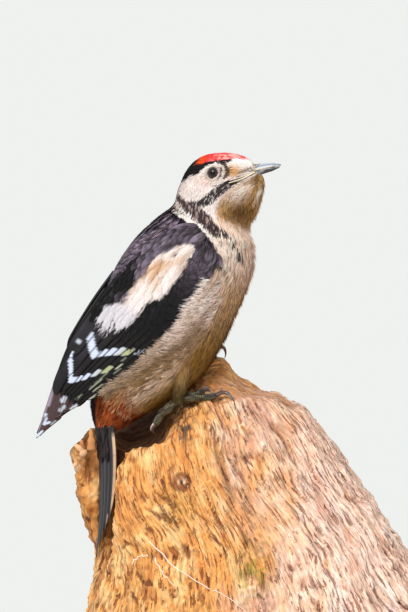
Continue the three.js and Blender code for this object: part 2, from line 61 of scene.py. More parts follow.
# Sections from the bill's root to the tail's: back [x, z], belly [x, z], half width, share of head turn.
SECTIONS = [
    [43.4, 266.2, 48.6, 260.8, 3.2, 1.0],
    [41.8, 269.2, 49.0, 257.6, 6.6, 1.0],
    [36.6, 272.0, 48.6, 253.4, 10.6, 1.0],
    [27.2, 273.3, 47.2, 248.8, 13.2, 1.0],  # eyes
    [16.2, 271.6, 45.4, 243.6, 14.8, 1.0],
    [8.2, 265.2, 43.0, 239.4, 15.0, 0.96],  # nape
    [3.2, 254.5, 40.0, 236.0, 14.2, 0.8],
    [0.8, 246.6, 39.5, 232.0, 15.2, 0.5],  # collar
    [-8.0, 239.6, 42.2, 224.5, 18.6, 0.2],
    [-20.2, 228.0, 42.2, 214.5, 21.6, 0.0],
    [-30.4, 212.0, 38.4, 203.0, 23.2, 0.0],  # breast
    [-36.6, 194.0, 32.2, 189.5, 23.6, 0.0],
    [-39.8, 176.0, 24.0, 172.5, 22.6, 0.0],  # belly
    [-41.4, 160.0, 10.5, 155.0, 19.4, 0.0],
    [-42.0, 148.0, -11.0, 142.0, 14.0, 0.0],  # vent
    [-40.6, 137.0, -29.0, 131.5, 7.4, 0.0],
    [-37.4, 128.5, -33.6, 127.5, 2.4, 0.0],
]


def middle_of(name):
    low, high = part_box(name)
    return np.array((low + high) / 2) / MM


def turned(points, angle):
    """Points in mm turned about the upright axis."""
    x, y, z = np.moveaxis(points, -1, 0)
    c, s = np.cos(angle), np.sin(angle)
    return np.stack([x * c - y * s, x * s + y * c, z], -1)


def head_to_bird(points):
    return turned(points, HEAD_TURN) + [NECK_PIVOT, 0, 0]


between_eyes = (middle_of("eye_right") + middle_of("eye_left")) / 2
BIRD_AT = between_eyes - turned(head_to_bird(np.array([EYE["x"], 0, EYE["z"]])), HEADING)


def bird_to_row(points):
    return turned(points, HEADING) + BIRD_AT


def through(rows, t):
    """A smooth value through a row of numbers or lists, with t from 0 to 1."""
    rows = np.asarray(rows, float)
    x = np.clip(t, 0, 1) * (len(rows) - 1)
    i = np.minimum(x.astype(int), len(rows) - 2)
    f = (x - i)[..., None] if rows.ndim > 1 else x - i
    a, b, c, d = (rows[np.clip(i + k, 0, len(rows) - 1)] for k in (-1, 0, 1, 2))
    return b + 0.5 * f * (c - a + f * (2 * a - 5 * b + 4 * c - d + f * (3 * b - a - 3 * c + d)))


def smooth(x):
    x = np.clip(x, 0, 1)
    return x * x * (3 - 2 * x)


def bell(x, width):
    return np.exp(-((x / width) ** 2))


def mix(a, b, t):
    return a + (b - a) * t


RANDOM_LATTICE = np.random.default_rng(11).uniform(-1, 1, 4096)
LATTICE_STEPS = (73856093, 19349663, 83492791)


def noise(points, seed=0):
    """Smooth noise from -1 to 1 with one lattice cell a unit, at an array of points."""
    cell = np.floor(points).astype(np.int64)
    f = smooth(points - cell)
    total = np.zeros(points.shape[:-1])
    for corner in np.ndindex(*(2,) * points.shape[-1]):
        key = np.full(points.shape[:-1], seed * 7919, np.int64)
        weight = np.ones(points.shape[:-1])
        for axis, step in enumerate(corner):
            key ^= (cell[..., axis] + step) * LATTICE_STEPS[axis]
            weight = weight * (f[..., axis] if step else 1 - f[..., axis])
        total += RANDOM_LATTICE[(key ^ (key >> 13)) & 4095] * weight
    return total


def field(x, y, seed):
    """Noise over two measures."""
    return noise(np.stack(np.broadcast_arrays(x, y), -1), seed)


MALAR_STRIPE = [(38.5, 259.6), (34.5, 257.2), (30.9, 254.1), (25.9, 250.2), (20.6, 247.2), (15.8, 245.6),
                (11.2, 246.0)]
GAPE_LINE = [(34.5, 260.0), (40, 262.2), (50, 266)]


def stripe(a, z, points):
    """How far places lie from a line of points in the side view, and how far along it, from 0 to 1."""
    points = np.asarray(points, float)
    nearest, along = np.full(np.shape(a), 1e9), np.zeros(np.shape(a))
    for i, (p, q) in enumerate(zip(points[:-1], points[1:])):
        run = q - p
        share = np.clip(((a - p[0]) * run[0] + (z - p[1]) * run[1]) / (run @ run), 0, 1)
        gap = np.hypot(a - p[0] - share * run[0], z - p[1] - share * run[1])
        closer = gap < nearest
        nearest = np.where(closer, gap, nearest)
        along = np.where(closer, (i + share) / (len(points) - 1), along)
    return nearest, along


def straight_body(u, t, grow=0.0):
    """The body before its head turns: [ahead, left, up] and the share of the turn, in mm. u runs from 0 on
    the back to 0.5 on the left and -0.5 on the right of the belly line, t from the bill to the tail."""
    back_x, back_z, front_x, front_z, half, turn = np.moveaxis(through(SECTIONS, t), -1, 0)
    angle = u * 2 * np.pi
    rise = np.hypot(back_x - front_x, back_z - front_z) / 2
    reach = np.cos(angle) * (rise + grow) / rise
    ahead = (back_x + front_x) / 2 + reach * (back_x - front_x) / 2
    up = (back_z + front_z) / 2 + reach * (back_z - front_z) / 2
    turn = np.clip(turn, 0, 1)
    wedge = 1 - FACE["narrowing"] * turn * smooth((ahead - FACE["from"]) / FACE["length"])
    left = np.sin(angle) * (half * wedge + grow)
    return np.stack([ahead, left, up], -1), turn


def relief(spot):
    """How far the face stands out of its plain form, in mm."""
    a, y, z = np.moveaxis(spot, -1, 0)
    malar, _ = stripe(a, z, MALAR_STRIPE)
    out = 0.7 * bell(a - EYE_AHEAD - 2, 5) * bell(z - EYE["z"] - 4.9, 1.9)  # brow
    out += 0.8 * bell(a - 19, 7) * bell(z - 254, 4.5) + 0.5 * bell(malar, 2)  # ear coverts and malar stripe
    out -= 0.5 * bell(a - 36, 3) * bell(z - 262, 1.8)  # lores
    out -= 1.1 * bell(np.hypot(a - EYE_AHEAD, z - EYE["z"]), 3.7)  # eye socket
    gape, along = stripe(a, z, GAPE_LINE)
    out = out * smooth((np.abs(y) - 3) / 4)
    return out - 2.6 * bell(gape, 2.4) * smooth(along * 2) * smooth((np.abs(y) - 1) / 2)


def body(u, t, grow=0.0):
    """A place on the body in row mm, `grow` outside the outline. Past the tail it runs straight on."""
    inside = np.clip(t, 0, 1)

    def at(u, t):
        plain, _ = straight_body(u, t)
        spot, turn = straight_body(u, t, grow + relief(plain))
        ahead = spot - [NECK_PIVOT, 0, 0]
        return turned(ahead, HEAD_TURN * turn) + [NECK_PIVOT, 0, 0]

    spot = at(u, inside)
    beyond = t - inside
    if np.any(beyond > 0):
        spot = spot + beyond[..., None] * (spot - at(u, inside - 0.03)) / 0.03
    return bird_to_row(spot)


def linear(hex_colour):
    """An sRGB hex colour as linear RGB."""
    parts = np.array([int(hex_colour[i : i + 2], 16) for i in (1, 3, 5)]) / 255
    return np.where(parts <= 0.04045, parts / 12.92, ((parts + 0.055) / 1.055) ** 2.4)


def paint(colour, *layers):
    """The colour with others laid over it in turn, each a hex colour and a mask of where it shows."""
    for over, mask in layers:
        colour = colour + (linear(over) - colour) * np.clip(mask, 0, 1)[..., None]
    return colour


CROWN_EDGE = [(39.8, 270.9), (32, 269.9), (28.2, 269.0), (25.4, 269.3), (20.6, 268.2), (17.2, 267.0),
              (13.5, 266.6)]
NAPE_EDGE = [(33.5, 268.4), (29.5, 267.7), (25.2, 267.9), (21, 266.1), (18.6, 263.4), (16.6, 261.2),
             (12, 260.4), (8, 257.6)]
EYE_CRESCENT = [(28.6, 268.2), (31.0, 267.2), (32.9, 265.0), (33.2, 262.6), (31.9, 260.4)]
INNER_CRESCENT = [(29.4, 265.6), (30.2, 263.6), (30.0, 261.2), (28.6, 259.0)]
NECK_STRIPE = [(4.3, 249.5), (7.1, 245.5), (11.8, 241.4), (17.0, 236.4), (21.2, 231.9)]
BREAST_STREAKS = [(24.6, 233.4), (27.0, 228.6), (28.9, 225.2), (30.8, 221.7), (32.8, 216.6)]
COLLAR = [(0.4, 245.4), (5.3, 241.9), (9.4, 238.4), (12.8, 234.3), (16.4, 229.7), (18.8, 225.4),
          (21.6, 220.4)]


def above(a, z, edge):
    """Height over an edge line that runs from front to back."""
    edge = np.array(edge)[::-1]
    return z - np.interp(a, edge[:, 0], edge[:, 1])


def behind_collar(a, z):
    """How far a place in the side view lies behind the collar, in mm."""
    line = np.array(COLLAR)[::-1]
    return np.interp(z, line[:, 1], line[:, 0]) - a


def within(gap, half, stray, soft=0.5):
    """1 inside half of a line's width, 0 outside, with a soft edge in mm."""
    return smooth((half + stray * 0.5 - gap) / soft + 0.5)


def underparts_colour(side, t):
    """From the golden throat over the pale breast to the darker belly, with painted shade on the lower
    throat and a painted highlight along the chin's edge.
    """
    colour = np.broadcast_to(linear("#efcfba"), (*side.shape, 3))
    gilt = 0.88 + 0.25 * field(side * 60, t * 26, 8)
    return paint(
        colour,
        ("#a97d40", smooth((0.47 - t) / 0.08) * smooth((side - 0.26) / 0.06) * gilt),
        ("#f2e4d8", bell(side - 0.325, 0.035) * bell(t - 0.235, 0.07) * 0.8),
        # painted shade on the lower throat
        ("#65451c", bell(side - 0.385, 0.05) * bell(t - 0.335, 0.075) * 0.88),
        ("#69511f", bell(side - 0.33, 0.06) * bell(t - 0.115, 0.055) * 0.85),
        # painted highlight along the front edge of chin and throat
        ("#fbf4ea", bell(side - 0.44, 0.02) * bell(t - 0.17, 0.05) * 0.9),
        ("#f4dccb", bell(t - 0.55, 0.06) * smooth((0.42 - side) / 0.1) * 0.8),
        ("#bd9462", smooth((side - 0.29) / 0.1) * smooth((t - 0.57) / 0.1) * 0.88),
        ("#b59c84", smooth((t - 0.68) / 0.08) * smooth((0.34 - side) / 0.1) * 0.85),
        ("#8c6428", smooth((t - 0.66) / 0.11) * smooth((side - 0.23) / 0.13) * 0.96),
        ("#b08662", bell(t - 0.84, 0.03) * smooth((0.28 - side) / 0.06) * 0.7),
    )


def face_colour(colour, a, y, z, side, t, stray):
    """White cheeks and forehead, buff lores, bare skin round the eye, and the dark crescents before it."""
    from_eye = np.hypot(a - EYE_AHEAD, z - EYE["z"])
    wedge, reach = stripe(a, z, [(39.4, 263.4), (43, 265.0), (47, 266.4)])
    above_bill, _ = stripe(a, z, [(37.4, 262.8), (40.2, 264.6), (42.6, 266.0)])
    crescents = [
        ("#3d3032", within(stripe(a, z, line)[0], half, stray) * 0.92 * (np.abs(y) > 5))
        for line, half in ((EYE_CRESCENT, 0.9), (INNER_CRESCENT, 0.45))
    ]
    return paint(
        colour,
        ("#eee0d9", smooth((0.3 - side) / 0.02) * smooth((0.46 - t) / 0.03)),
        ("#e2c4b6", bell(a - 20, 5) * bell(z - 258.5, 3.2) * 0.5),
        ("#fdf8f0", bell(a - 37, 6) * smooth((z - 265) / 2.5)),
        ("#d9a25e", bell(a - 34.8, 3.6) * bell(z - 263.4, 3.4) * smooth((np.abs(y) - 3) / 3)),
        ("#c3afa3", bell(from_eye - 3.6, 1.0) * 0.9),
        ("#f2e9dc", bell(from_eye - 5.0, 0.7) * 0.7),
        ("#e0b7ab", bell(a - 22.6, 3.4) * bell(z - 257.2, 2.0) * 0.5),
        ("#dcd4ce", within(wedge, mix(0.5, 1.9, reach), stray) * (np.abs(y) > 1.5) * 0.9),
        ("#7a5238", within(above_bill, 0.35, stray) * 0.7),
        *crescents,
    )


def crown_fleck(a, z):
    return field(a * 1.3 + z * 0.6, z * 1.3 - a * 0.6, 4)


def dark_stripes(colour, a, y, z, side, stray):
    """The malar stripe, its scaly run down the neck, and the streaks that end it on the breast."""
    malar_gap, along = stripe(a, z, MALAR_STRIPE)
    malar = within(malar_gap, through([0.9, 1.9, 2.4, 2.4, 2.1, 1.9, 1.6], along), stray)
    neck_gap, along = stripe(a, z, NECK_STRIPE)
    neck = within(neck_gap, through([1.5, 2.8, 5.0, 5.7, 3.2], along), stray)
    scaly = field(a * 1.05, z * 0.8, 6) + 0.5 * field(a * 2.1, z * 1.7, 7)
    streaks = within(stripe(a, z, BREAST_STREAKS)[0], 1.7, stray)
    return paint(
        colour,
        ("#2a2224", malar * (0.97 - 0.5 * (crown_fleck(a, z) > 0.45)) * (np.abs(y) > 4.5)),
        ("#a08680", neck * (side < 0.33) * 0.9),
        ("#33282a", neck * smooth((0.36 - scaly) / 0.3 + 0.5) * 0.92 * (side < 0.33)),
        ("#2a2430", streaks * (field(a * 0.9, z * 0.4, 9) > -0.12) * 0.92),
    )


def upper_colour(colour, a, z, side, t, stray, soft=0.5):
    """White collar, then the black of mantle, hind neck and nape, then the red crown."""
    gap, along = stripe(a, z, COLLAR)
    half = through([0.9, 1.0, 1.1, 1.3, 1.6, 2.0, 2.2], along)
    behind = behind_collar(a, z) - 1.4
    mantle = smooth((behind + stray * 0.5) / soft) * (side < 0.27) * (t > 0.4) * smooth((0.6 - t) / 0.03)
    hind_neck = smooth((0.05 - side) / 0.02) * (t > 0.3)
    black_back = mix(0.235, 0.1, smooth((t - 0.66) / 0.1))
    nape = smooth((above(a, z, NAPE_EDGE) + stray * 0.5) / soft + 0.5) * (a < 33.5) * (a > 4) * (t < 0.42)
    colour = paint(
        colour,
        ("#fbf6ee", within(gap, half, stray) * smooth((side - 0.055) / 0.02) * mix(1.0, 0.55, along)),
        ("#28222a", np.maximum(mantle, hind_neck * (t < 0.6))),
        ("#28222a", smooth((t - 0.5) / 0.03) * smooth((black_back - side) / 0.02)),
        ("#1f191b", nape),
    )
    crown = smooth((above(a, z, CROWN_EDGE) + stray * 0.4) / soft + 0.5) * (a < 39.8)
    crown = crown * smooth((a - 13.6 + stray) / 1)
    hind_crown = a + 1.5 * field(a * 0.9, z * 0.9, 3) < 19
    red = np.where(hind_crown[..., None], linear("#ff5a24"), linear("#f2403e"))
    # pink-white streaks over the front of the crown: painted highlight on the red
    crown_highlights = smooth((a - 20) / 8) * 0.9 * smooth((crown_fleck(a, z) + 0.16) / 0.2)
    red = mix(red, linear("#ffc2ba"), crown_highlights[..., None])
    return mix(colour, red, (crown * (t < 0.42))[..., None])


def vent_colour(colour, side, t, stray):
    """The rust under the tail."""
    vent = smooth((t - mix(0.835, 0.885, smooth((side - 0.1) / 0.25)) + stray * 0.008) / 0.012)
    # random patches of deeper rust, and painted shade darkening it towards the underside
    deep = smooth(field(side * 50, t * 60, 10) * 1.2 + smooth((side - 0.3) / 0.1) * 0.5)
    red = mix(linear("#9a4a22"), linear("#642c14"), deep[..., None])
    return mix(colour, red, (vent * smooth((side - 0.06) / 0.03))[..., None])


def plumage(u, t, stray=0.0):
    """The colour of the coat at a place. `stray` moves each border in or out by mm, feather by feather."""
    spot, _ = straight_body(u, np.clip(t, 0, 1))
    a, y, z = np.moveaxis(spot, -1, 0)
    side = np.abs(u)
    colour = underparts_colour(side, t)
    colour = face_colour(colour, a, y, z, side, t, stray)
    colour = dark_stripes(colour, a, y, z, side, stray)
    colour = upper_colour(colour, a, z, side, t, stray)
    return vent_colour(colour, side, t, stray)


def outward(points, *faces):
    """The faces, turned over where they would face into the solid that they close."""
    corners = np.concatenate([f[:, [0, k, k + 1]] for f in faces for k in range(1, f.shape[1] - 1)])
    a, b, c = np.moveaxis((points - points.mean(0))[corners], 1, 0)
    return [f[:, ::-1] for f in faces] if (a * np.cross(b, c)).sum() < 0 else list(faces)


def mesh_of(name, points, *faces):
    """A smooth mesh object from points in mm and arrays of faces, each array of one count of corners."""
    faces = outward(points, *faces)
    mesh = bpy.data.meshes.new(name)
    mesh.vertices.add(len(points))
    mesh.vertices.foreach_set("co", (points * MM).astype(np.float32).ravel())
    corners = np.concatenate([f.ravel() for f in faces]).astype(np.int32)
    counts = np.concatenate([np.full(len(f), f.shape[1]) for f in faces])
    mesh.loops.add(len(corners))
    mesh.loops.foreach_set("vertex_index", corners)
    mesh.polygons.add(len(counts))
    mesh.polygons.foreach_set("loop_start", (np.cumsum(counts) - counts).astype(np.int32))
    mesh.update(calc_edges=True)
    mesh.validate()
    mesh.shade_smooth()
    made = bpy.data.objects.new(name, mesh)
    bpy.context.scene.collection.objects.link(made)
    return made


def colour_points(made, colours):
    layer = made.data.attributes.new("pigment", "FLOAT_COLOR", "POINT")
    flat = np.ones((len(colours), 4), np.float32)
    flat[:, :3] = np.clip(colours, 0, 1)
    layer.data.foreach_set("color", flat.ravel())


def finish_piece(made, look, slot, *replaced):
    """Gives a piece its material and the body it rides on; its slot is not used."""
    made.data.materials.clear()
    made.data.materials.append(look)
    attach(made, "root")
    if replaced:
        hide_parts(*replaced)
    return made


def closed_grid(rows, cols):
    """Quads of a tube of rows by cols points, closed round, and the two fans that shut its ends."""
    i, j = np.meshgrid(np.arange(rows - 1), np.arange(cols), indexing="ij")
    n = (j + 1) % cols
    quads = np.stack([i * cols + j, i * cols + n, (i + 1) * cols + n, (i + 1) * cols + j], -1).reshape(-1, 4)
    j = np.arange(cols)
    n = (j + 1) % cols
    first, last = rows * cols, rows * cols + 1
    low = np.stack([n, j, np.full(cols, first)], -1)
    high = np.stack([j + (rows - 1) * cols, n + (rows - 1) * cols, np.full(cols, last)], -1)
    return quads, np.concatenate([low, high])


def with_middles(rings):
    """The points or colours of a tube's rings, then the middle of its first and of its last ring."""
    return np.concatenate([rings.reshape(-1, 3), rings[[0, -1]].mean(1)])


def with_ends(values):
    """Values at a tube's points, then its first and its last again for the two points that shut it."""
    flat = values.reshape(-1, 3)
    return np.concatenate([flat, flat[[0, -1]]])


def node(tree, kind, links=(), **settings):
    """Adds one shader node, sets its properties and input values, and links nodes or sockets into it."""
    made = tree.nodes.new("ShaderNode" + kind)
    for key, value in settings.items():
        if hasattr(made, key) and not key.startswith("in_"):
            setattr(made, key, value)
        else:
            made.inputs[key.removeprefix("in_").replace("_", " ")].default_value = value
    for socket, source in dict(links).items():
        tree.links.new(getattr(source, "outputs", [source])[0], made.inputs[socket])
    return made


def material(name, roughness, **sockets):
    """A new material with its shader, and constant values set on the shader's own sockets."""
    look = bpy.data.materials.new(name)
    look.use_nodes = True
    tree = look.node_tree
    shader = tree.nodes["Principled BSDF"]
    shader.inputs["Roughness"].default_value = roughness
    for socket, value in sockets.items():
        shader.inputs[socket.replace("_", " ")].default_value = value
    return look, tree, shader


def surface(tree, shader, colour, worn_by, low, high, raised_by, strength, raised_mm):
    """Links a colour, wears the roughness from low to high by one pattern and raises relief by another."""
    tree.links.new(colour, shader.inputs["Base Color"])
    worn = node(tree, "MapRange", {"Value": worn_by}, in_To_Min=low, in_To_Max=high)
    tree.links.new(worn.outputs[0], shader.inputs["Roughness"])
    bump = node(tree, "Bump", {"Height": raised_by}, in_Strength=strength,
                in_Distance=raised_mm * MM)
    tree.links.new(bump.outputs[0], shader.inputs["Normal"])


def product(tree, a, b):
    return node(tree, "VectorMath", {0: a, 1: b}, operation="MULTIPLY").outputs[0]


def pigment_look(name, roughness, grain_mm, contrast, bump_mm, stretch=(1, 1, 1), **sockets):
    """A material whose colour is the piece's own pigment, broken by a grain of a real size in mm."""
    look, tree, shader = material(name, roughness, **sockets)
    base = node(tree, "Attribute", attribute_name="pigment")
    place = node(tree, "TexCoord")
    scaled = node(tree, "Mapping", {"Vector": place.outputs["Object"]}, in_Scale=stretch)
    grain = node(tree, "TexNoise", {"Vector": scaled}, in_Scale=1 / (grain_mm * MM),
                 in_Detail=3.0).outputs[0]
    light = node(tree, "MapRange", {"Value": grain}, in_From_Min=0.3, in_From_Max=0.7,
                 in_To_Min=1 - contrast, in_To_Max=1 + contrast)
    surface(tree, shader, product(tree, base.outputs["Color"], light.outputs[0]), grain, roughness * 0.85,
            min(1, roughness * 1.15), grain, 0.6, bump_mm)
    return look


def coat_depth(u, t):
    """How deep the feathers are over the skin, in mm."""
    crown = 1.3 * bell(t - 0.2, 0.15) * smooth((0.16 - np.abs(u)) / 0.04)
    throat = 1.9 * smooth((np.abs(u) - 0.3) / 0.08) * smooth((t - 0.04) / 0.1)
    return np.maximum(np.maximum(0.9 * smooth(t / 0.08) + 0.15, crown),
                      np.maximum(throat, 2.4 * smooth((t - 0.3) / 0.2)))


def skin():
    """The whole skin from the bill's root to the tail's, closed at both ends."""
    around, along = 132, 180
    u, t = np.meshgrid(np.arange(around) / around - 0.5, np.linspace(0.004, 0.996, along))
    points = body(u, t, -coat_depth(u, t))
    made = mesh_of("skin", with_middles(points), *closed_grid(along, around))
    # the markings at 0.8 of their brightness: painted shade between the feathers
    colour_points(made, with_ends(plumage(u.ravel(), t.ravel()) * 0.8))
    return made


bird_skin = skin()


# ---------------------------------------------------------------- coat
# Contour feathers, each a fan of barbs that share a root: short and fine on the face, long and loose on
# throat, breast and flanks, broad smooth vanes on the mantle. They lie tailwards, lap like shingles, and
# part round the eye. Each barb lock is a thin closed blade.
def unit(v):
    return v / np.maximum(np.linalg.norm(v, axis=-1, keepdims=True), 1e-9)


def dot(a, b):
    return (a * b).sum(-1, keepdims=True)


BLADE = {"stations": [0.2, 0.64], "widths": [0.85, 0.92]}
LOCK = {"stations": [0.14, 0.46, 0.78], "widths": [0.68, 1.0, 0.66]}
VANE = {
    "stations": [0.04, 0.16, 0.32, 0.5, 0.66, 0.8, 0.9, 0.96, 0.99],
    "widths": [0.3, 0.62, 0.86, 0.98, 1.0, 0.92, 0.74, 0.52, 0.3],
}


def lay(place, p, q, length, half, heading=0.0, aside=(0.0, 0.0), low=-1.0, high=0.0, shape=LOCK,
        corners=3, thick=0.3, droop=0.0, flick=0.0, low_power=1.7, plain=None):
    """Feathers laid on a surface from roots (p, q), as points [feather, point, xyz] and their places.

    `heading` turns them in the surface from its q direction towards p, `aside` shifts root and tip across
    in mm, `low` and `high` are the heights of root and tip, and `flick` lifts the tip alone. `plain` is a
    smoother surface to measure the steps on, where `place` folds.
    """
    count = len(p)
    s = np.array([0, *shape["stations"], 1])
    length, half, heading, low, high, flick = (
        np.broadcast_to(v, count)[:, None] for v in (length, half, heading, low, high, flick)
    )
    first, last = (np.broadcast_to(v, count)[:, None] for v in aside)
    tiny = 0.002
    level = low[:, 0]
    flat = plain or place
    across = (flat(p + tiny, q, level) - flat(p - tiny, q, level)) / (2 * tiny)
    onward = (flat(p, q + tiny, level) - flat(p, q - tiny, level)) / (2 * tiny)
    forward = unit(onward)
    lean = dot(across, forward)
    spread = np.maximum(1, np.linalg.norm(across - lean * forward, axis=-1))[:, None]
    sideways = first + (last - first) * s**1.3
    run = length * s * np.cos(heading) - sideways * np.sin(heading)
    drift = (length * s * np.sin(heading) + sideways * np.cos(heading)) / spread
    p = p[:, None] + drift
    q = q[:, None] + (run - drift * lean) / np.maximum(1, np.linalg.norm(onward, axis=-1))[:, None]
    height = low + (high - low) * (1 - (1 - s) ** low_power) + flick * s**3
    spine = place(p, q, height)
    up = unit(place(p, q, height + 0.4) - spine)
    side = unit(np.cross(np.gradient(spine, axis=1), up))
    angle = np.arange(corners) / corners * 2 * np.pi + (np.pi / 6 if corners == 3 else 0)
    x, y = np.cos(angle), np.sin(angle)
    wide = (half * np.array(shape["widths"]))[..., None]
    ring = (
        spine[:, 1:-1, None]
        + side[:, 1:-1, None] * (wide * x)[..., None]
        + up[:, 1:-1, None] * (wide * (y * thick - droop * x**2))[..., None]
    )
    points = np.concatenate([ring.reshape(count, -1, 3), spine[:, :1], spine[:, -1:]], axis=1)
    where = {"p": p, "q": q, "s": s, "x": x, "corners": corners, "rings": len(s) - 2}
    return points, where


def per_point(where, values):
    """Values [feather, station, ...] spread over the points of each feather's rings."""
    rings = np.repeat(values[:, 1:-1], where["corners"], axis=1)
    return np.concatenate([rings, values[:, :1], values[:, -1:]], axis=1)


PATCH = 0.003  # how wide each tuft is on the unwrap of the skin


def feather_piece(name, batches, look, slot):
    """One mesh from batches of (points, where, colours [feather, station or point, 3]), with its unwrap."""
    points, colours, roots, patches, quads, caps, crisp = [], [], [], [], [], [], []
    total = 0
    for spots, where, tint in batches:
        count, each = spots.shape[:2]
        if tint.shape[1] != each:
            tint = per_point(where, tint)
        shift = (np.arange(count) * each)[:, None, None]
        grid = [(f + shift).reshape(-1, f.shape[1]) for f in closed_grid(where["rings"], where["corners"])]
        quad, cap = outward(spots.reshape(-1, 3), *grid)
        quads.append(quad + total)
        caps.append(cap + total)
        crisp.append(where["corners"] < 5)
        points.append(spots.reshape(-1, 3))
        colours.append(tint.reshape(-1, 3))
        along = per_point(where, np.broadcast_to(where["s"], where["p"].shape)) - 0.5
        beside = np.concatenate([np.tile(where["x"], where["rings"]), [0, 0]]) * np.ones((count, 1)) / 2
        root = np.stack([where["p"][:, 0], where["q"][:, 0]], -1)
        roots.append(np.repeat(root, each, 0))
        patches.append(np.stack([beside, along], -1).reshape(-1, 2) * PATCH)
        total += count * each
    made = mesh_of(name, np.concatenate(points), np.concatenate(quads), np.concatenate(caps))
    sharp = [np.full(len(f), flag) for group in (quads, caps) for f, flag in zip(group, crisp)]
    made.data.polygons.foreach_set("use_smooth", ~np.concatenate(sharp))
    colour_points(made, np.concatenate(colours))
    roots = np.concatenate(roots)
    low, high = roots.min(0), roots.max(0)
    spot = PATCH + (roots - low) / (high - low) * (1 - 2 * PATCH) + np.concatenate(patches)
    layer = made.data.uv_layers.new(name="OFBake")
    index = np.empty(len(made.data.loops), np.int32)
    made.data.loops.foreach_get("vertex_index", index)
    layer.data.foreach_set("uv", spot[index].astype(np.float32).ravel())
    return finish_piece(made, look, slot)


def rooted(place, q_low, q_high, gap_across, gap_along, seed, low=-0.5, high=0.5, height=-1.0, stray=0.3):
    """Staggered rows of feather roots a set distance apart in mm, thinned where the rows crowd."""
    rng = np.random.default_rng(seed)
    probe = np.linspace(low, high, 61)
    found, q, row = [], q_low, 0
    while q < q_high:
        line = place(probe, np.full(61, q), height)
        onward = np.linalg.norm(place(probe, np.full(61, q + 0.002), height) - line, axis=-1) / 0.002
        arc = np.concatenate([[0], np.cumsum(np.linalg.norm(np.diff(line, axis=0), axis=-1))])
        count = max(1, round(arc[-1] / gap_across))
        at = (np.arange(count) + 0.5 * (row % 2) + rng.uniform(-stray, stray, count)) / count
        p = np.interp(at * arc[-1], arc, probe)
        keep = rng.random(count) < np.interp(p, probe, onward) / onward.max()
        shift = rng.uniform(-stray, stray, count) * gap_along / onward.max()
        found.append(np.stack([p, q + shift], -1)[keep])
        q += gap_along / onward.max()
        row += 1
    return np.concatenate(found).T


# Where the folded wings lie on the body: nothing grows under them but the skin.
WING = [
    # upper edge [x, z], lower edge [x, z], how far the inner face stands out at upper edge, middle and
    # lower edge, and the thickness
    [9.8, 236.4, 19.6, 224.6, 17.5, 19.4, 19.4, 1.6],
    [-2.5, 233.6, 21.6, 213.6, 16.2, 22.0, 20.8, 3.0],
    [-17.0, 223.8, 12.4, 198.2, 14.6, 23.4, 23.2, 3.6],
    [-28.8, 209.6, 2.8, 184.0, 12.6, 23.2, 23.8, 3.4],
    [-41.6, 193.2, -12.6, 170.7, 10.0, 19.8, 22.6, 3.0],
    [-53.8, 175.0, -31.0, 157.0, 8.2, 14.4, 16.6, 2.4],
    [-60.8, 160.0, -46.4, 145.6, 6.4, 9.6, 10.4, 1.8],
    [-66.0, 143.6, -57.0, 138.9, 4.8, 6.2, 6.4, 1.2],
    [-71.0, 128.6, -70.2, 127.2, 3.2, 3.6, 3.6, 0.7],
]


def beside_wing(a, z):
    """Where places in the side view lie against the wing: mm below its upper edge, mm above its lower edge,
    and mm beyond its ends."""
    rows = through(WING, np.linspace(0, 1, 80))
    upper, across = rows[:, 0:2], rows[:, 2:4] - rows[:, 0:2]
    width = np.linalg.norm(across, axis=1)
    offset = np.stack([np.ravel(a), np.ravel(z)], -1)[:, None] - upper
    down = (offset * across).sum(-1) / width
    gap = np.abs(offset[..., 0] * across[:, 1] - offset[..., 1] * across[:, 0]) / width
    nearest = gap.argmin(1)
    pick = np.arange(len(nearest))
    return down[pick, nearest], width[nearest] - down[pick, nearest], gap[pick, nearest]


def shade_barbs(u, t, s, rng, spread=0.12):
    """Colours of barbs by the place that shows, each a little lighter or darker, and darker towards the
    root, as painted shade where the feathers cover each other.
    """
    shown = np.full(len(u), max(1, round(len(s) * 0.7)))
    at_u, at_t = u[np.arange(len(u)), shown], t[np.arange(len(u)), shown]
    tint = plumage(at_u, at_t, rng.uniform(-1, 1, len(u)))
    tint = tint * (1 + rng.normal(0, spread, (len(u), 1)))
    return tint[:, None] * mix(0.7, 1.03, smooth(s * 1.6))[None, :, None]


FLANGE = [(34.2, 257.6), (37.4, 258.6), (40.4, 259.9), (43.4, 261.9), (46.4, 264.0)]


def eye_gap(u, t):
    """How far a place on the body lies from the middle of the nearer eye, in mm."""
    plain, _ = straight_body(u, t)
    return np.hypot(plain[..., 0] - EYE_AHEAD, plain[..., 2] - EYE["z"]) + 20 * (np.abs(plain[..., 1]) < 7)


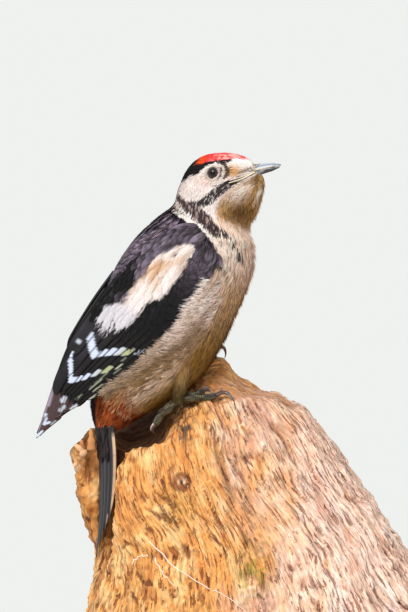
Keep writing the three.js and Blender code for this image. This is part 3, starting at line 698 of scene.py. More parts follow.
def face_coat(side, seed):
    """Short plush on one side of the head, closest round the eye and loosest on the throat."""
    rng = np.random.default_rng(seed)
    u, t = rooted(body, 0.008, 0.44, 0.34, 0.72, seed, *sorted((0.0, side * 0.5)))
    away = np.abs(u)
    crown = smooth((0.17 - away) / 0.03)
    throat = smooth((away - 0.29) / 0.06)
    length = mix(1.5, 2.7, smooth(t / 0.1)) + 0.9 * crown * smooth(t / 0.12)
    length += 2.4 * throat * smooth((t - 0.03) / 0.1)
    length += 1.6 * smooth((t - 0.34) / 0.08)
    length *= rng.uniform(0.8, 1.2, len(u))
    half = mix(0.25, 0.29, np.maximum(crown, throat))
    plain, _ = straight_body(u, t)
    a, y, z = plain.T
    around_eye = 0.9 * bell(eye_gap(u, t), 5.5) * np.clip((z - EYE["z"]) / 3, -1, 1) * (a > EYE_AHEAD - 1)
    heading = -side * around_eye + rng.normal(0, 0.1, len(u)) * (1 + throat)
    depth = coat_depth(u, t)
    lid = eye_gap(u, t)
    by_lid = np.minimum(length, np.maximum(0.9, (lid - 2.9) * 1.05))
    length = np.where((lid < 6.4) & (a > EYE_AHEAD - 1), by_lid, length)
    crescent = np.minimum(stripe(a, z, EYE_CRESCENT)[0], stripe(a, z, INNER_CRESCENT)[0])
    length = np.where(crescent < 2.2, np.minimum(length, 1.0), length)
    keep = lid > 3.25
    flange, _ = stripe(a, z, FLANGE)
    keep &= (flange > 1.2) | (np.abs(y) < 2.5)
    flick = rng.uniform(0, 0.35, len(u)) * (0.4 + 1.8 * throat)
    flick += rng.uniform(0, 1.6, len(u)) * smooth((away - 0.43) / 0.04)
    kept = (v[keep] for v in (u, t, length, half, heading, depth, flick))
    u, t, length, half, heading, depth, flick = kept
    spots, where = lay(body, u, t, length, half, heading, low=-0.6 * depth,
                       high=rng.uniform(-0.24, 0.08, len(u)), shape=BLADE, thick=0.2, flick=flick)
    inside = eye_gap(where["p"], where["q"]).min(1) > 2.75
    tint = shade_barbs(where["p"], where["q"], where["s"], rng, 0.09)
    share = rng.random(len(u))
    streak = np.where(share < 0.2, 0.6, np.where(share > 0.8, 1.35, 1.0))
    on_throat = smooth((np.abs(u) - 0.27) / 0.04) * smooth((t - 0.06) / 0.05)
    tint = np.clip(tint * mix(1.0, streak, on_throat)[:, None, None], 0, 0.95)
    where = {**where, "p": where["p"][inside], "q": where["q"][inside]}
    return spots[inside], where, tint[inside]


def fans(u, t, rng, length, half, spread, barbs, heading, depth, flick, stray=0.06, place=body, high=0.0,
         tint=None, plain=None):
    """Contour feathers as fans of barbs that share a root and end in a rounded row."""
    n = len(u)
    seat = np.linspace(-1, 1, barbs)
    seats = np.tile(seat, n) + rng.uniform(-0.6, 0.6, n * barbs) / barbs
    again = lambda v: np.repeat(np.broadcast_to(v, n), barbs)
    size = again(length) * (1 - 0.2 * seats**2) * rng.uniform(0.84, 1.1, n * barbs)
    lean = again(heading + rng.normal(0, stray, n)) + rng.normal(0, stray, n * barbs)
    aside = again(spread) * seats
    high = again(high) + rng.uniform(-0.45, 0.1, n * barbs) - 0.25 * seats**2
    spots, where = lay(place, again(u), again(t), size, again(half) * rng.uniform(0.75, 1.2, n * barbs),
                       lean, (0.35 * aside, aside), -again(depth), high, LOCK, 3, 0.4,
                       flick=again(flick) * rng.uniform(0, 1, n * barbs), plain=plain)
    tint = (tint or shade_barbs)(where["p"], where["q"], where["s"], rng)
    tint *= again(1 + rng.normal(0, 0.07, n))[:, None, None]
    return spots, where, tint


def underparts(t_low, t_high, side, seed):
    """The loose feathers of one side of breast, flank and belly."""
    rng = np.random.default_rng(seed)
    u, t = rooted(body, t_low, t_high, 1.75, 1.85, seed, *sorted((0.0, side * 0.5)))
    plain, _ = straight_body(u, t)
    away = np.abs(u)
    _, above_low, beyond = beside_wing(plain[:, 0], plain[:, 2])
    back_edge = mix(0.11, 0.24, smooth((t - 0.47) / 0.08)) - 0.13 * smooth((t - 0.66) / 0.1)
    keep = ((above_low < 5) | (beyond > 2.5)) & (away > back_edge)
    u, t, away = u[keep], t[keep], away[keep]
    flank = smooth((0.42 - away) / 0.12) * smooth((t - 0.52) / 0.06) * smooth((0.86 - t) / 0.1)
    towards_back = flank * mix(0.75, 0.5, smooth((t - 0.6) / 0.1))
    length = mix(5.5, 8.5, smooth((t - 0.44) / 0.12)) + 2.5 * smooth((t - 0.72) / 0.1)
    length = length * rng.uniform(0.8, 1.2, len(u))
    flick = 0.25 + 0.5 * flank + 1.8 * smooth((away - 0.44) / 0.04) + 1.2 * smooth((t - 0.78) / 0.05)
    batch = fans(u, t, rng, length, 0.33, 1.5, 8, -side * towards_back, 2.0, flick)
    share = rng.random(len(batch[0]))[:, None, None]
    low_down = smooth((batch[1]["q"][:, :1, None] - 0.74) / 0.07)
    streak = np.where(share < 0.2, mix(0.55, 0.4, low_down),
                      np.where(share > 0.8, mix(1.3, 1.5, low_down), 1.0))
    return batch[0], batch[1], np.clip(batch[2] * streak, 0, 0.95)


def vent_coat(seed):
    """Rusty feathers under the tail, with a skirt of buff-tipped ones where the belly ends over them."""
    rng = np.random.default_rng(seed)
    u, t = rooted(body, 0.83, 1.0, 1.5, 1.6, seed)
    rusty = fans(u, t, rng, 7.5 * rng.uniform(0.7, 1.3, len(u)), 0.32, 1.4, 7, 0.0, 2.0, 0.9, 0.14)

    def buff_ends(u, t, s, rng):
        colour = mix(linear("#804c28"), linear("#cf9f76"), rng.uniform(0, 1, (len(u), 1)))
        # darker towards the root: painted shade
        return colour[:, None] * mix(0.5, 1.0, s)[None, :, None]

    u = rng.uniform(0.12, 0.36, 110) * rng.choice([-1, 1], 110)
    t = 0.83 + 0.2 * (np.abs(u) - 0.12) + rng.uniform(-0.02, 0.025, 110)
    skirt = fans(u, t, rng, rng.uniform(5, 9, 110), 0.24, 1.2, 7, 0.0, 1.5, 1.6, 0.18, high=0.8,
                 tint=buff_ends)
    return rusty, skirt


def collar_coat(side, seed):
    """White feathers that close the neck off from the mantle, in a line that widens towards the breast."""
    rng = np.random.default_rng(seed)
    line = [
        [0.060, 0.447], [0.137, 0.458], [0.182, 0.470], [0.218, 0.488], [0.252, 0.508], [0.275, 0.524],
        [0.296, 0.536],
    ]
    k = rng.random(150) ** 0.9
    u, t = through(line, k).T
    wide = mix(0.003, 0.009, k)
    u, t = side * (u + rng.normal(0, 0.004, len(k))), t + rng.uniform(-0.7, 0.7, len(k)) * wide

    def white(u, t, s, rng):
        low = smooth((np.abs(u[:, :1]) - 0.2) / 0.09)
        cream = mix(linear("#fff9f0"), linear("#ecd6c4"), low) * rng.uniform(0.85, 1.0, (len(u), 1))
        # darker towards the root: painted shade
        return cream[:, None] * mix(0.8, 1.0, s)[None, :, None]

    return fans(u, t, rng, mix(3.4, 6.5, k), 0.26, 0.9, 8, side * 0.75, 1.2, 0.25, high=0.5, tint=white)


def on_mantle(u, t, gap):
    """The roots that lie on the back: a gap in mm behind the collar, and clear of the wings."""
    plain, _ = straight_body(u, t)
    behind = behind_collar(plain[:, 0], plain[:, 2]) - gap
    below, _, beyond = beside_wing(plain[:, 0], plain[:, 2])
    keep = ((behind > 0) | (np.abs(u) < 0.05)) & ((below < 7) | (beyond > 2.5) & (np.abs(u) < 0.14))
    return u[keep], t[keep]


def mantle_coat(seed):
    """Smooth black vanes down the back, with a painted lilac sheen on them and soft ends."""
    rng = np.random.default_rng(seed)
    u, t = on_mantle(*rooted(body, 0.405, 0.86, 3.0, 3.0, seed, -0.27, 0.27, stray=0.12), 2.6)
    inward = 0.2 * np.sign(u) * smooth((np.abs(u) - 0.03) / 0.15)
    edge = smooth((np.abs(u) - 0.13) / 0.05) * smooth((t - 0.5) / 0.05)
    lower = smooth((t - 0.45) / 0.15)
    spots, where = lay(body, u, t, mix(6.5, 10.5, lower) * rng.uniform(0.92, 1.08, len(u)),
                       mix(2.1, 2.9, lower), inward + rng.normal(0, 0.05, len(u)), low=-1.3,
                       high=0.05 + 1.4 * edge, shape=VANE, corners=10, thick=0.04, droop=0.06, low_power=1.3)
    # lilac across the middle of each vane: painted sheen
    lilac = (rng.uniform(0.2, 1.0, len(u)) * smooth((0.78 - t) / 0.2))[:, None, None]
    middle = bell(where["s"] - 0.66, 0.2)[None, :, None]
    vanes = (spots, where, mix(linear("#262029"), linear("#968499"), lilac * middle))
    u, t = on_mantle(*rooted(body, 0.41, 0.86, 0.75, 1.3, seed + 1, -0.26, 0.26), 2.2)
    spots, where = lay(body, u, t, 3.4 * rng.uniform(0.8, 1.3, len(u)), 0.24, rng.normal(0, 0.12, len(u)),
                       low=-0.9, high=rng.uniform(0.0, 0.3, len(u)), shape=BLADE, thick=0.3)
    # patches of grey-lilac on the soft strands: painted shine; darker towards their roots: painted shade
    patch = field(u * 38, t * 60, 21) + rng.normal(0, 0.15, len(u))
    shine = (smooth(patch * 1.5 + 0.35) * smooth((0.82 - t) / 0.25))[:, None]
    tint = mix(linear("#221c22"), linear("#a08a93"), shine) * (1 + rng.normal(0, 0.12, (len(u), 1)))
    soft = (spots, where, tint[:, None] * mix(0.7, 1.0, where["s"])[None, :, None])
    return [vanes, soft]


# Loose keratin barbs: matt, as light is lost between them.
down = pigment_look("contour_feather", 0.78, 0.5, 0.1, 0.03, Specular_IOR_Level=0.12)
# Hooked barbs in a closed vane: a dull silk shine on the back.
glossy = pigment_look("mantle_feather", 0.5, 0.7, 0.16, 0.05, Specular_IOR_Level=0.16)
# Tanned skin: duller than the feathers that cover it, pitted by their roots.
hide = pigment_look("bird_skin", 0.7, 0.8, 0.12, 0.08, Specular_IOR_Level=0.2)
finish_piece(bird_skin, hide, "pale_feather", "head", "neck", "trunk", "thigh_right", "thigh_left")
for side, hand in ((-1, "right"), (1, "left")):
    feather_piece(f"coat_face_{hand}", [face_coat(side, 101 + side)], down, "pale_feather")
    feather_piece(f"coat_collar_{hand}", [collar_coat(side, 161 + side)], down, "pale_feather")
    feather_piece(f"coat_breast_{hand}", [underparts(0.425, 0.63, side, 111 + side)], down, "buff_feather")
    feather_piece(f"coat_belly_{hand}", [underparts(0.63, 0.9, side, 121 + side)], down, "buff_feather")
feather_piece("coat_vent", vent_coat(131), down, "buff_feather")
feather_piece("coat_mantle", mantle_coat(141), glossy, "black_feather")


# ---------------------------------------------------------------- eyes
# Glass eyes set deep in the head: a dark pupil in a brown iris under one clear glossy surface. The lid is a
# beaded rim of bare grey-pink skin with a heavier upper edge and a fold round it, close over the ball.
BALL = {"radius": 3.7, "side": 9.75, "pupil": 1.45, "iris": 2.5}
LID = {"radius": 2.82, "thick": 0.33}


def tube(path, wide, tall, up, sides=12):
    """A closed tube along a path in mm, with half width and half height at each point; `up` sets its top."""
    path = np.asarray(path, float)
    run = unit(np.gradient(path, axis=0))
    side = unit(np.cross(run, up))
    top = unit(np.cross(side, run))
    angle = np.arange(sides) / sides * 2 * np.pi
    wide, tall = (np.broadcast_to(v, (len(path), sides)) for v in (wide, tall))
    rings = path[:, None] + side[:, None] * (wide * np.cos(angle))[..., None]
    rings = rings + top[:, None] * (tall * np.sin(angle))[..., None]
    return np.concatenate([rings.reshape(-1, 3), path[:1], path[-1:]]), angle


def joined(name, tubes):
    """One mesh from closed tubes, each given as its points, rows, columns and colours."""
    faces, total = [], 0
    for points, rows, cols, _ in tubes:
        faces.append([f + total for f in outward(points, *closed_grid(rows, cols))])
        total += len(points)
    points, colours = (np.concatenate([piece[k] for piece in tubes]) for k in (0, 3))
    made = mesh_of(name, points, *(np.concatenate([f[k] for f in faces]) for k in (0, 1)))
    colour_points(made, colours)
    return made


def eye_frame(side):
    """The eye's centre, and the axes it looks along, forward and up, all in row mm."""
    out, ahead, up = unit(np.array([[0.1, side, 0.07], [1, -0.1 * side, 0], [0, -0.07 * side, 1]]))
    turn = HEADING + HEAD_TURN
    centre = bird_to_row(head_to_bird(np.array([EYE["x"], side * BALL["side"], EYE["z"]])))
    return centre, turned(out, turn), turned(ahead, turn), turned(up, turn)


def eyeball(side, hand):
    """A glass ball with its pupil, its spoked iris and the dark ring round it."""
    centre, out, ahead, up = eye_frame(side)
    rows, cols = 36, 44
    polar = np.linspace(0.03, np.pi - 0.03, rows)[:, None, None]
    angle = (np.arange(cols) / cols * 2 * np.pi)[None, :, None]
    round_axis = np.cos(angle) * ahead + np.sin(angle) * up
    points = centre + BALL["radius"] * (np.cos(polar) * out + np.sin(polar) * round_axis)
    ends = centre + BALL["radius"] * np.array([out, -out])
    points = np.concatenate([points.reshape(-1, 3), ends])
    from_axis = np.append(np.repeat(BALL["radius"] * np.sin(polar.ravel()), cols), [0, 0])
    spokes = field(np.tile(angle.ravel() * 9, rows), np.repeat(polar.ravel() * 5, cols), 5)
    colour = mix(linear("#2c1e1b"), linear("#42302a"), (0.5 + 0.5 * np.append(spokes, [0, 0]))[:, None])
    colour = paint(
        colour,
        ("#241719", smooth((from_axis - BALL["iris"] + 0.35) / 0.4)),
        ("#060505", smooth((BALL["pupil"] - from_axis) / 0.12 + 0.5)),
    )
    made = mesh_of(f"eyeball_{hand}", points, *closed_grid(rows, cols))
    colour_points(made, colour)
    return finish_piece(made, glass, "eye", f"eye_{hand}")


def lids(side, hand):
    """Three rings of bare skin, one inside another: the beaded rim and the two folds round it."""
    centre, out, ahead, up = eye_frame(side)
    angle = np.arange(97) / 96 * 2 * np.pi
    upper = smooth(0.5 + np.sin(angle))
    parts = []
    for radius, thick, lift, beads, low, high in (
        (LID["radius"], LID["thick"], 0.0, 0.12, "#5b4842", "#2a201f"),
        (3.45, 0.4, -0.4, 0.05, "#c9b5a9", "#77655e"),
        (4.25, 0.3, -0.55, 0.0, "#ddcfc4", "#c7b6aa"),
    ):
        wobble = 1 + beads * np.sin(angle * 30)
        ring = radius + 0.16 * np.cos(angle - 0.3)
        ring = ring - 0.3 * upper * (radius < 3)
        rise = np.sqrt(BALL["radius"] ** 2 - np.minimum(ring, 3.5) ** 2) + lift + 0.12
        path = centre + ring[:, None] * (np.cos(angle)[:, None] * ahead + np.sin(angle)[:, None] * up)
        path = path + rise[:, None] * out
        size = (thick * wobble * (1 + 0.5 * upper))[:, None]
        points, _ = tube(path[:-1], size[:-1], size[:-1], out, 10)
        shade = np.repeat(mix(linear(low), linear(high), smooth(upper)[:-1, None]), 10, 0)
        parts.append((points[:-2], shade * (1 + 0.12 * np.repeat(np.sin(angle * 30)[:-1], 10))[:, None]))
    rows, cols = 96, 10
    i, j = np.meshgrid(np.arange(rows), np.arange(cols), indexing="ij")
    i2, j2 = (i + 1) % rows, (j + 1) % cols
    loop = np.stack([i * cols + j, i * cols + j2, i2 * cols + j2, i2 * cols + j], -1).reshape(-1, 4)
    both = np.concatenate([loop + k * rows * cols for k in range(len(parts))])
    made = mesh_of(f"eyelids_{hand}", np.concatenate([p for p, _ in parts]), both)
    colour_points(made, np.concatenate([c for _, c in parts]))
    return finish_piece(made, lid_skin, "eye")


# Painted glass under a clear polished front: a small sharp highlight over a dark, wet-looking iris.
glass = pigment_look("glass_eye", 0.12, 0.6, 0.06, 0.0, Coat_Weight=0.35, Coat_Roughness=0.03,
                     Specular_IOR_Level=0.1)
# Waxed bare skin: fine beads with a soft, slightly moist sheen.
lid_skin = pigment_look("lid_skin", 0.55, 0.4, 0.15, 0.05)
for side, hand in ((-1, "right"), (1, "left")):
    eyeball(side, hand)
    lids(side, hand)


# ---------------------------------------------------------------- bill
# A straight chisel of slate-grey horn: a ridged culmen, a groove running forward from the nostril, cream
# along the cutting edges and dark below. Stiff bristles grow forward over the nostrils.
BILL = {"gape": (15.6, 259.4), "tip": (41.0, 266.3), "overbite": 0.8, "half": 4.3, "gap": 0.3}
MANDIBLES = {"upper": (4.4, 1.4), "lower": (3.5, 1.7)}


def horn(name, around, v, grow=0.0):
    """A place on a mandible: around from 0 to 1 over its outer face, v from gape to tip, in row mm."""
    sign, reach = (1, 0.0) if name == "upper" else (-1, -BILL["overbite"])
    root, tip = MANDIBLES[name]
    x = BILL["gape"][0] + (BILL["tip"][0] - BILL["gape"][0] + reach) * v
    blunt = np.sqrt(np.clip((1.04 - v) / 0.2, 0, 1))
    mouth = mix(BILL["tip"][1], BILL["gape"][1], (1 - v) ** 1.5) + sign * BILL["gap"] / 2
    angle = np.pi * around
    ridge = 0.3 * bell(angle - np.pi / 2, 0.22) + 0.12 * bell(np.abs(angle - np.pi / 2) - 0.95, 0.12)
    groove = 0.22 * bell(np.abs(angle - np.pi / 2) - 0.66, 0.14) * smooth((0.95 - v) / 0.3)
    swell = grow + (ridge - groove) * (1 if name == "upper" else 0.4) * smooth((1 - v) / 0.25)
    y = (BILL["half"] * mix(1, 0.3, v) * blunt + swell) * np.cos(angle)
    z = mouth + sign * (mix(root, tip, v) * blunt + swell) * np.maximum(0, np.sin(angle)) ** 1.08
    return bird_to_row(head_to_bird(np.stack([x + 0 * y, -y, z], -1)))


def mandible(name):
    """Half of the bill, closed inside by a flat mouth, with its greys, creams and blotches."""
    rows, cols = 110, 41
    v, around = np.meshgrid(np.linspace(0, 1, rows) ** 0.9 * 0.999, np.linspace(0, 1, cols), indexing="ij")
    points = horn(name, around, v)
    inner = points[:, :1] + (points[:, -1:] - points[:, :1]) * np.linspace(0, 1, 12)[1:-1][None, :, None]
    rings = np.concatenate([points, inner[:, ::-1]], 1)
    wide = rings.shape[1]
    made = mesh_of(f"bill_{name}_horn", with_middles(rings), *closed_grid(rows, wide))
    height = np.concatenate([np.sin(np.pi * around), np.zeros((rows, 10))], 1).ravel()
    v = np.repeat(v[:, 0], wide)
    streak = field(v * 7, height * 9, 31)
    if name == "upper":
        # the upper mandible paler along its top: painted highlight
        colour = paint(np.ones((rows * wide, 3)) * linear("#8390a2"),
                       ("#c9cfdc", smooth(height * 2.4 - 1.5) * 0.7))
        colour = paint(
            colour,
            ("#5d6470", bell(height - 0.62, 0.14) * 0.6),
            ("#d9cba4", smooth((0.32 - height) / 0.22) * smooth((v - 0.25) / 0.2)),
        )
    else:
        colour = paint(np.ones((rows * wide, 3)) * linear("#8a8d96"),
                       ("#dccda4", smooth((0.58 - v) / 0.12) * 0.9))
        colour = paint(colour, ("#c3b594", smooth((0.2 - height) / 0.1) * smooth((0.8 - v) / 0.1) * 0.8))
        blotch = field(v * 9, height * 3.2, 32) + 0.4 * streak
        spotted = smooth(blotch * 3 + height * 1.1 - 0.35) * smooth((v - 0.34) / 0.15)
        colour = paint(colour, ("#2a2320", spotted * 0.92))
    colour = paint(colour, ("#54565e", smooth((v - 0.93) / 0.05) * 0.7))
    colour_points(made, with_ends(colour * (1 + 0.12 * streak)[:, None]))
    return finish_piece(made, bill_horn, "bill_horn", f"bill_{name}")


def bristles():
    """Hair-like feathers over the nostrils and along the gape, growing forward from the face."""
    rng = np.random.default_rng(171)
    count = 420
    hand = rng.choice([-1, 1], count)
    around = np.where(hand < 0, rng.uniform(0.04, 0.5, count), rng.uniform(0.5, 0.96, count))
    v = rng.uniform(0.18, 0.54, count) * mix(0.8, 1.0, bell(around - 0.5, 0.2))
    place = lambda p, q, h: horn("upper", p, q, h)
    top = bell(around - 0.5, 0.16)
    spots, where = lay(place, around, v, rng.uniform(1.8, 3.6, count) * (1 - 0.45 * top), 0.09,
                       rng.normal(0, 0.12, count), low=-0.1, high=rng.uniform(0.15, 0.55, count),
                       shape=BLADE, thick=0.7)
    dark = rng.random(count) < 0.28
    tint = np.where(dark[:, None], linear("#4a3a34"), linear("#e4d8c4")) * rng.uniform(0.7, 1.05, (count, 1))
    tint = tint[:, None] * np.ones((1, len(where["s"]), 1))
    return feather_piece("nostril_bristles", [(spots, where, tint)], down, "pale_feather")


def gape_flange(side, hand):
    """The soft rims of the mouth, cream below and grey-white above, from under the lores to the bill."""
    u, t = np.meshgrid(np.linspace(0.02, 0.48, 150) * side, np.linspace(0.02, 0.36, 150), indexing="ij")
    plain, _ = straight_body(u, t)
    rims = []
    for lift, thick, low, high in ((0.0, 0.78, "#8a7652", "#ecdfbd"), (1.25, 0.6, "#a89a90", "#ddd6d0")):
        line = through(FLANGE, np.linspace(0, 1, 46)) + [0, lift]
        gap = (plain[..., 0] - line[:, None, None, 0]) ** 2 + (plain[..., 2] - line[:, None, None, 1]) ** 2
        pick = gap.reshape(len(line), -1).argmin(1)
        along = np.linspace(0, 1, len(line))
        near = body(u.ravel()[pick], t.ravel()[pick], 0.1)
        near = np.stack([np.convolve(np.pad(v, 4, "edge"), np.ones(9) / 9, "valid") for v in near.T], -1)
        taper = (thick * np.sin(np.pi * mix(0.1, 0.72, along)) ** 0.6)[:, None]
        out = near - bird_to_row(np.array([NECK_PIVOT, 0, 256]))
        points, angle = tube(near, taper * 0.62, taper, out)
        # each rim darker along one edge of its tube: painted shade
        shade = smooth(0.5 + 0.6 * np.cos(angle))[None, :] * np.ones((len(line), 1))
        colour = mix(linear(high), linear(low), shade[..., None])
        rims.append((points, len(line), len(angle), with_ends(colour)))
    return finish_piece(joined(f"gape_flange_{hand}", rims), lid_skin, "bill_horn")


for side, hand in ((-1, "right"), (1, "left")):
    gape_flange(side, hand)
# Horn worn smooth on bark: a soft polish over fine lengthwise layers.
bill_horn = pigment_look("bill_horn", 0.34, 0.9, 0.08, 0.05, (0.25, 0.25, 1), Coat_Weight=0.25,
                         Coat_Roughness=0.25)
mandible("upper")
mandible("lower")
bristles()


# ---------------------------------------------------------------- wings
# Folded wings: a padded wing bone under lesser and median coverts, the white scapular patch laid over them,
# then tertials, secondaries and primaries stacked like slats, each lapping the one below. White spots on
# their webs meet in toothed bars, and the primaries fade to brown at the point.
WING_MM = 150  # along the wing from bend to tip
TUCK = (3.2, 2.2)  # how far forward and up the left wing's tip is drawn in behind the right's


def wing_row(column, along):
    return through(np.array(WING)[:, column], along)


def wing_place(side):
    def place(across, along, height):
        """A place on a folded wing in row mm: across from upper edge to lower, along from bend to tip."""
        across, along = np.broadcast_arrays(np.asarray(across, float), np.asarray(along, float))
        inner = np.clip(across, 0, 1)
        rows = [wing_row(k, np.clip(along, 0, 1)) for k in range(8)]
        near = np.clip(along, 0.02, 1)
        step = [wing_row(k, near) - wing_row(k, near - 0.02) for k in range(8)]
        past = (along - np.clip(along, 0, 1)) / 0.02
        x0, z0, x1, z1, upper, middle, lower, thick = (r + s * past for r, s in zip(rows, step))
        tuck = (side > 0) * smooth(along * 1.7 - 0.35)
        bulge = 4 * inner * (1 - inner) * (middle - (upper + lower) / 2)
        edge = np.sqrt(np.sin(np.pi * mix(0.06, 0.94, inner)))
        out = mix(upper, lower, across) + bulge + edge * thick + height
        ahead, rise = mix(x0, x1, across) + TUCK[0] * tuck, mix(z0, z1, across) + TUCK[1] * tuck
        return bird_to_row(np.stack([ahead, side * out, rise], -1))

    return place


def wing_shell(side, hand):
    """The dark body of the wing that the feathers lie on."""
    place = wing_place(side)
    rows, cols = 70, 15
    along = np.linspace(0.012, 0.975, rows)[:, None]
    across = np.linspace(0.05, 0.95, cols)
    thick = wing_row(7, along)
    outer = place(across, along, -0.32 * thick - 0.35 - 0.9 * smooth((along - 0.62) / 0.15))
    inner = place(across[1:-1][::-1], along, -thick * 0.96 - 0.7 * smooth((along - 0.62) / 0.15))
    rings = np.concatenate([outer, inner], 1)
    wide = rings.shape[1]
    made = mesh_of(f"wing_{hand}_shell", with_middles(rings), *closed_grid(rows, wide))
    lap = np.concatenate([across, across[1:-1][::-1]]) * np.ones((rows, 1))
    colour = mix(linear("#100e0e"), linear("#8d7561"), flank_rim(lap + 0.12, along + 0 * lap)[..., None])
    colour_points(made, with_ends(colour))
    return finish_piece(made, wing_sheen, "black_feather", f"wing_{hand}")


PATCH_EDGES = [
    # along the wing, upper edge and lower edge of the white patch
    [0.130, 0.34, 0.40],
    [0.144, 0.29, 0.46],
    [0.190, 0.222, 0.50],
    [0.255, 0.172, 0.555],
    [0.312, 0.190, 0.527],
    [0.357, 0.160, 0.51],
    [0.400, 0.185, 0.425],
    [0.434, 0.215, 0.445],
    [0.455, 0.140, 0.46],
    [0.478, 0.075, 0.475],
    [0.520, 0.075, 0.395],
    [0.535, 0.140, 0.34],
    [0.548, 0.220, 0.31],
]
FIRST_BAR = [(0.135, 0.55), (0.16, 0.57), (0.27, 0.59), (0.405, 0.607), (0.475, 0.59), (0.6, 0.566),
             (0.705, 0.547)]
SECOND_BAR = [(0.085, 0.65), (0.11, 0.665), (0.343, 0.727), (0.438, 0.712), (0.525, 0.694), (0.58, 0.672),
              (0.73, 0.62)]
DASHES = [
    # across, along, half length in mm, half width in mm
    (0.070, 0.600, 2.1, 0.6), (0.845, 0.520, 2.2, 0.5), (0.880, 0.515, 1.5, 0.4), (0.802, 0.529, 1.6, 0.4),
    (0.772, 0.566, 1.5, 0.4), (0.812, 0.590, 1.9, 0.42), (0.848, 0.603, 1.9, 0.45),
    (0.765, 0.640, 2.6, 0.36),
    (0.780, 0.668, 2.8, 0.4), (0.780, 0.692, 2.2, 0.35), (0.870, 0.682, 3.0, 0.42),
    (0.960, 0.716, 2.4, 0.45),
    (0.758, 0.751, 2.6, 0.42), (0.495, 0.806, 3.0, 1.2), (0.660, 0.844, 3.4, 0.95), (0.893, 0.802, 3.8, 0.8),
    (0.865, 0.912, 1.6, 0.6),
]
TIP_CHEVRONS = [[(1.6, 134.4), (2.0, 139.6), (4.2, 137.5)],
                [(0.0, 140.5), (0.0, 149.5), (2.4, 143.2)]]  # in mm


def in_patch(across, along, stray=0.0):
    rows = np.array(PATCH_EDGES)
    upper = np.interp(along, rows[:, 0], rows[:, 1]) + stray * 0.02
    lower = np.interp(along, rows[:, 0], rows[:, 2]) + stray * 0.015
    inside = np.minimum(across - upper, lower - across) / 0.018
    inside = np.minimum(inside, np.minimum(along - 0.13, 0.546 - along) / 0.008)
    notch = bell(across - 0.485, 0.03) * bell(along - 0.395, 0.022)
    notch = notch + bell(across - 0.355, 0.022) * bell(along - 0.53, 0.02)
    speck = bell(across - 0.31, 0.02) * bell(along - 0.2, 0.012)
    return np.clip(inside + 0.5, 0, 1) * (1 - np.clip(1.6 * (notch + speck) - 0.3, 0, 1))


def wing_marks(across, along, lap, spread, strip):
    """How white, how yellow and how brown the flight feathers are. `lap` runs from -1 to 1 across a web, and
    `strip` is where the open part of a narrow web lies, so that each carries one spot of its own."""
    white = np.zeros(across.shape)
    for bar, half in ((FIRST_BAR, 0.0135), (SECOND_BAR, 0.0145)):
        bar = np.array(bar)
        spot = across if strip is None else np.full(across.shape, strip)
        centre = np.interp(spot, bar[:, 0], bar[:, 1]) - (0 if strip is None else 0.011 * lap)
        half = half * (1 if strip is None else 1.25 - 0.5 * np.abs(lap - 0.2))
        reach = (spot > bar[0, 0] - 0.01) & (spot < bar[-1, 0] + 0.05)
        edge = smooth((half - np.abs(along - centre)) / 0.004 + 0.5) * reach
        white = np.maximum(white, edge * (1 if strip is None else smooth((1.04 - np.abs(lap)) / 0.1)))
    yellow = smooth((across - 0.58) / 0.14) * white
    for at, where, length, width in DASHES:
        gap = np.hypot((across - at) * spread / width, (along - where) * WING_MM / length)
        dash = smooth((1 - gap) / 0.35 + 0.5)
        white = np.maximum(white, dash)
        yellow = np.maximum(yellow, dash * (0.8 if at > 0.6 and 0.535 < where < 0.76 else 0.2))
    for line in TIP_CHEVRONS:
        gap, _ = stripe(across * spread, along * WING_MM, line)
        white = np.maximum(white, smooth((0.55 - gap) / 0.3 + 0.5) * (along > 0.88))
    brown = smooth((along - 0.78) / 0.03)
    return white, yellow, brown


def slat(place, across, along, half, height, tilt, thick, cols=8):
    """One vane as a thin closed lens: its middle line across and along, its half width, and its height."""
    x = np.linspace(-1, 1, cols)
    crown = thick * (1 - x**2)
    top = height[:, None] + tilt * x + crown
    under = (height[:, None] + tilt * x - crown - 0.05)[:, 1:-1][:, ::-1]
    lap = np.concatenate([x, x[1:-1][::-1]])
    spot_across = across[:, None] + half[:, None] * lap
    spot_along = np.broadcast_to(along[:, None], spot_across.shape)
    rings = place(spot_across, spot_along, np.concatenate([top, under], 1))
    return rings, spot_across, spot_along, np.broadcast_to(lap, spot_across.shape)


def flight_feathers():
    """[middle at root and tip, or upper edge if a primary; root along, tip along, half width, height,
    bluntness, primary] of each feather. Half widths are shares of the wing's, but mm in the primaries."""
    found = [[0.13, 0.13, 0.42, 0.812, 0.14, 0.1, 0.09, False]]
    for k, (edge, tip) in enumerate([(0.17, 0.66), (0.30, 0.72), (0.42, 0.78)]):
        found.append([edge - 0.1, edge - 0.1, 0.36 + 0.02 * k, tip, 0.125, 0.3 - 0.05 * k, 0.16, False])
    for k in range(8):
        middle = 0.35 + 0.085 * k
        found.append([middle, middle, 0.38, 0.8 - 0.009 * k, 0.076, 0.02 - 0.02 * k, 0.1, False])
    for edge, last, tip, half, height in (
        (0.02, 0.0, 1.0, 4.6, -0.62), (0.10, 0.10, 0.93, 3.4, -0.5), (0.22, 0.30, 0.892, 3.4, -0.4),
        (0.36, 0.48, 0.866, 3.2, -0.3), (0.50, 0.60, 0.84, 3.0, -0.22), (0.62, 0.70, 0.81, 2.8, -0.15),
    ):
        found.append([edge, last, 0.55, tip, half, height, 0.24, True])
    return found


def vector_points(made, name, values):
    """A vector at each point, from which a material takes the run of its pattern."""
    layer = made.data.attributes.new(name, "FLOAT_VECTOR", "POINT")
    layer.data.foreach_set("vector", values.astype(np.float32).ravel())


def wing_width(along):
    return np.hypot(wing_row(0, along) - wing_row(2, along), wing_row(1, along) - wing_row(3, along))


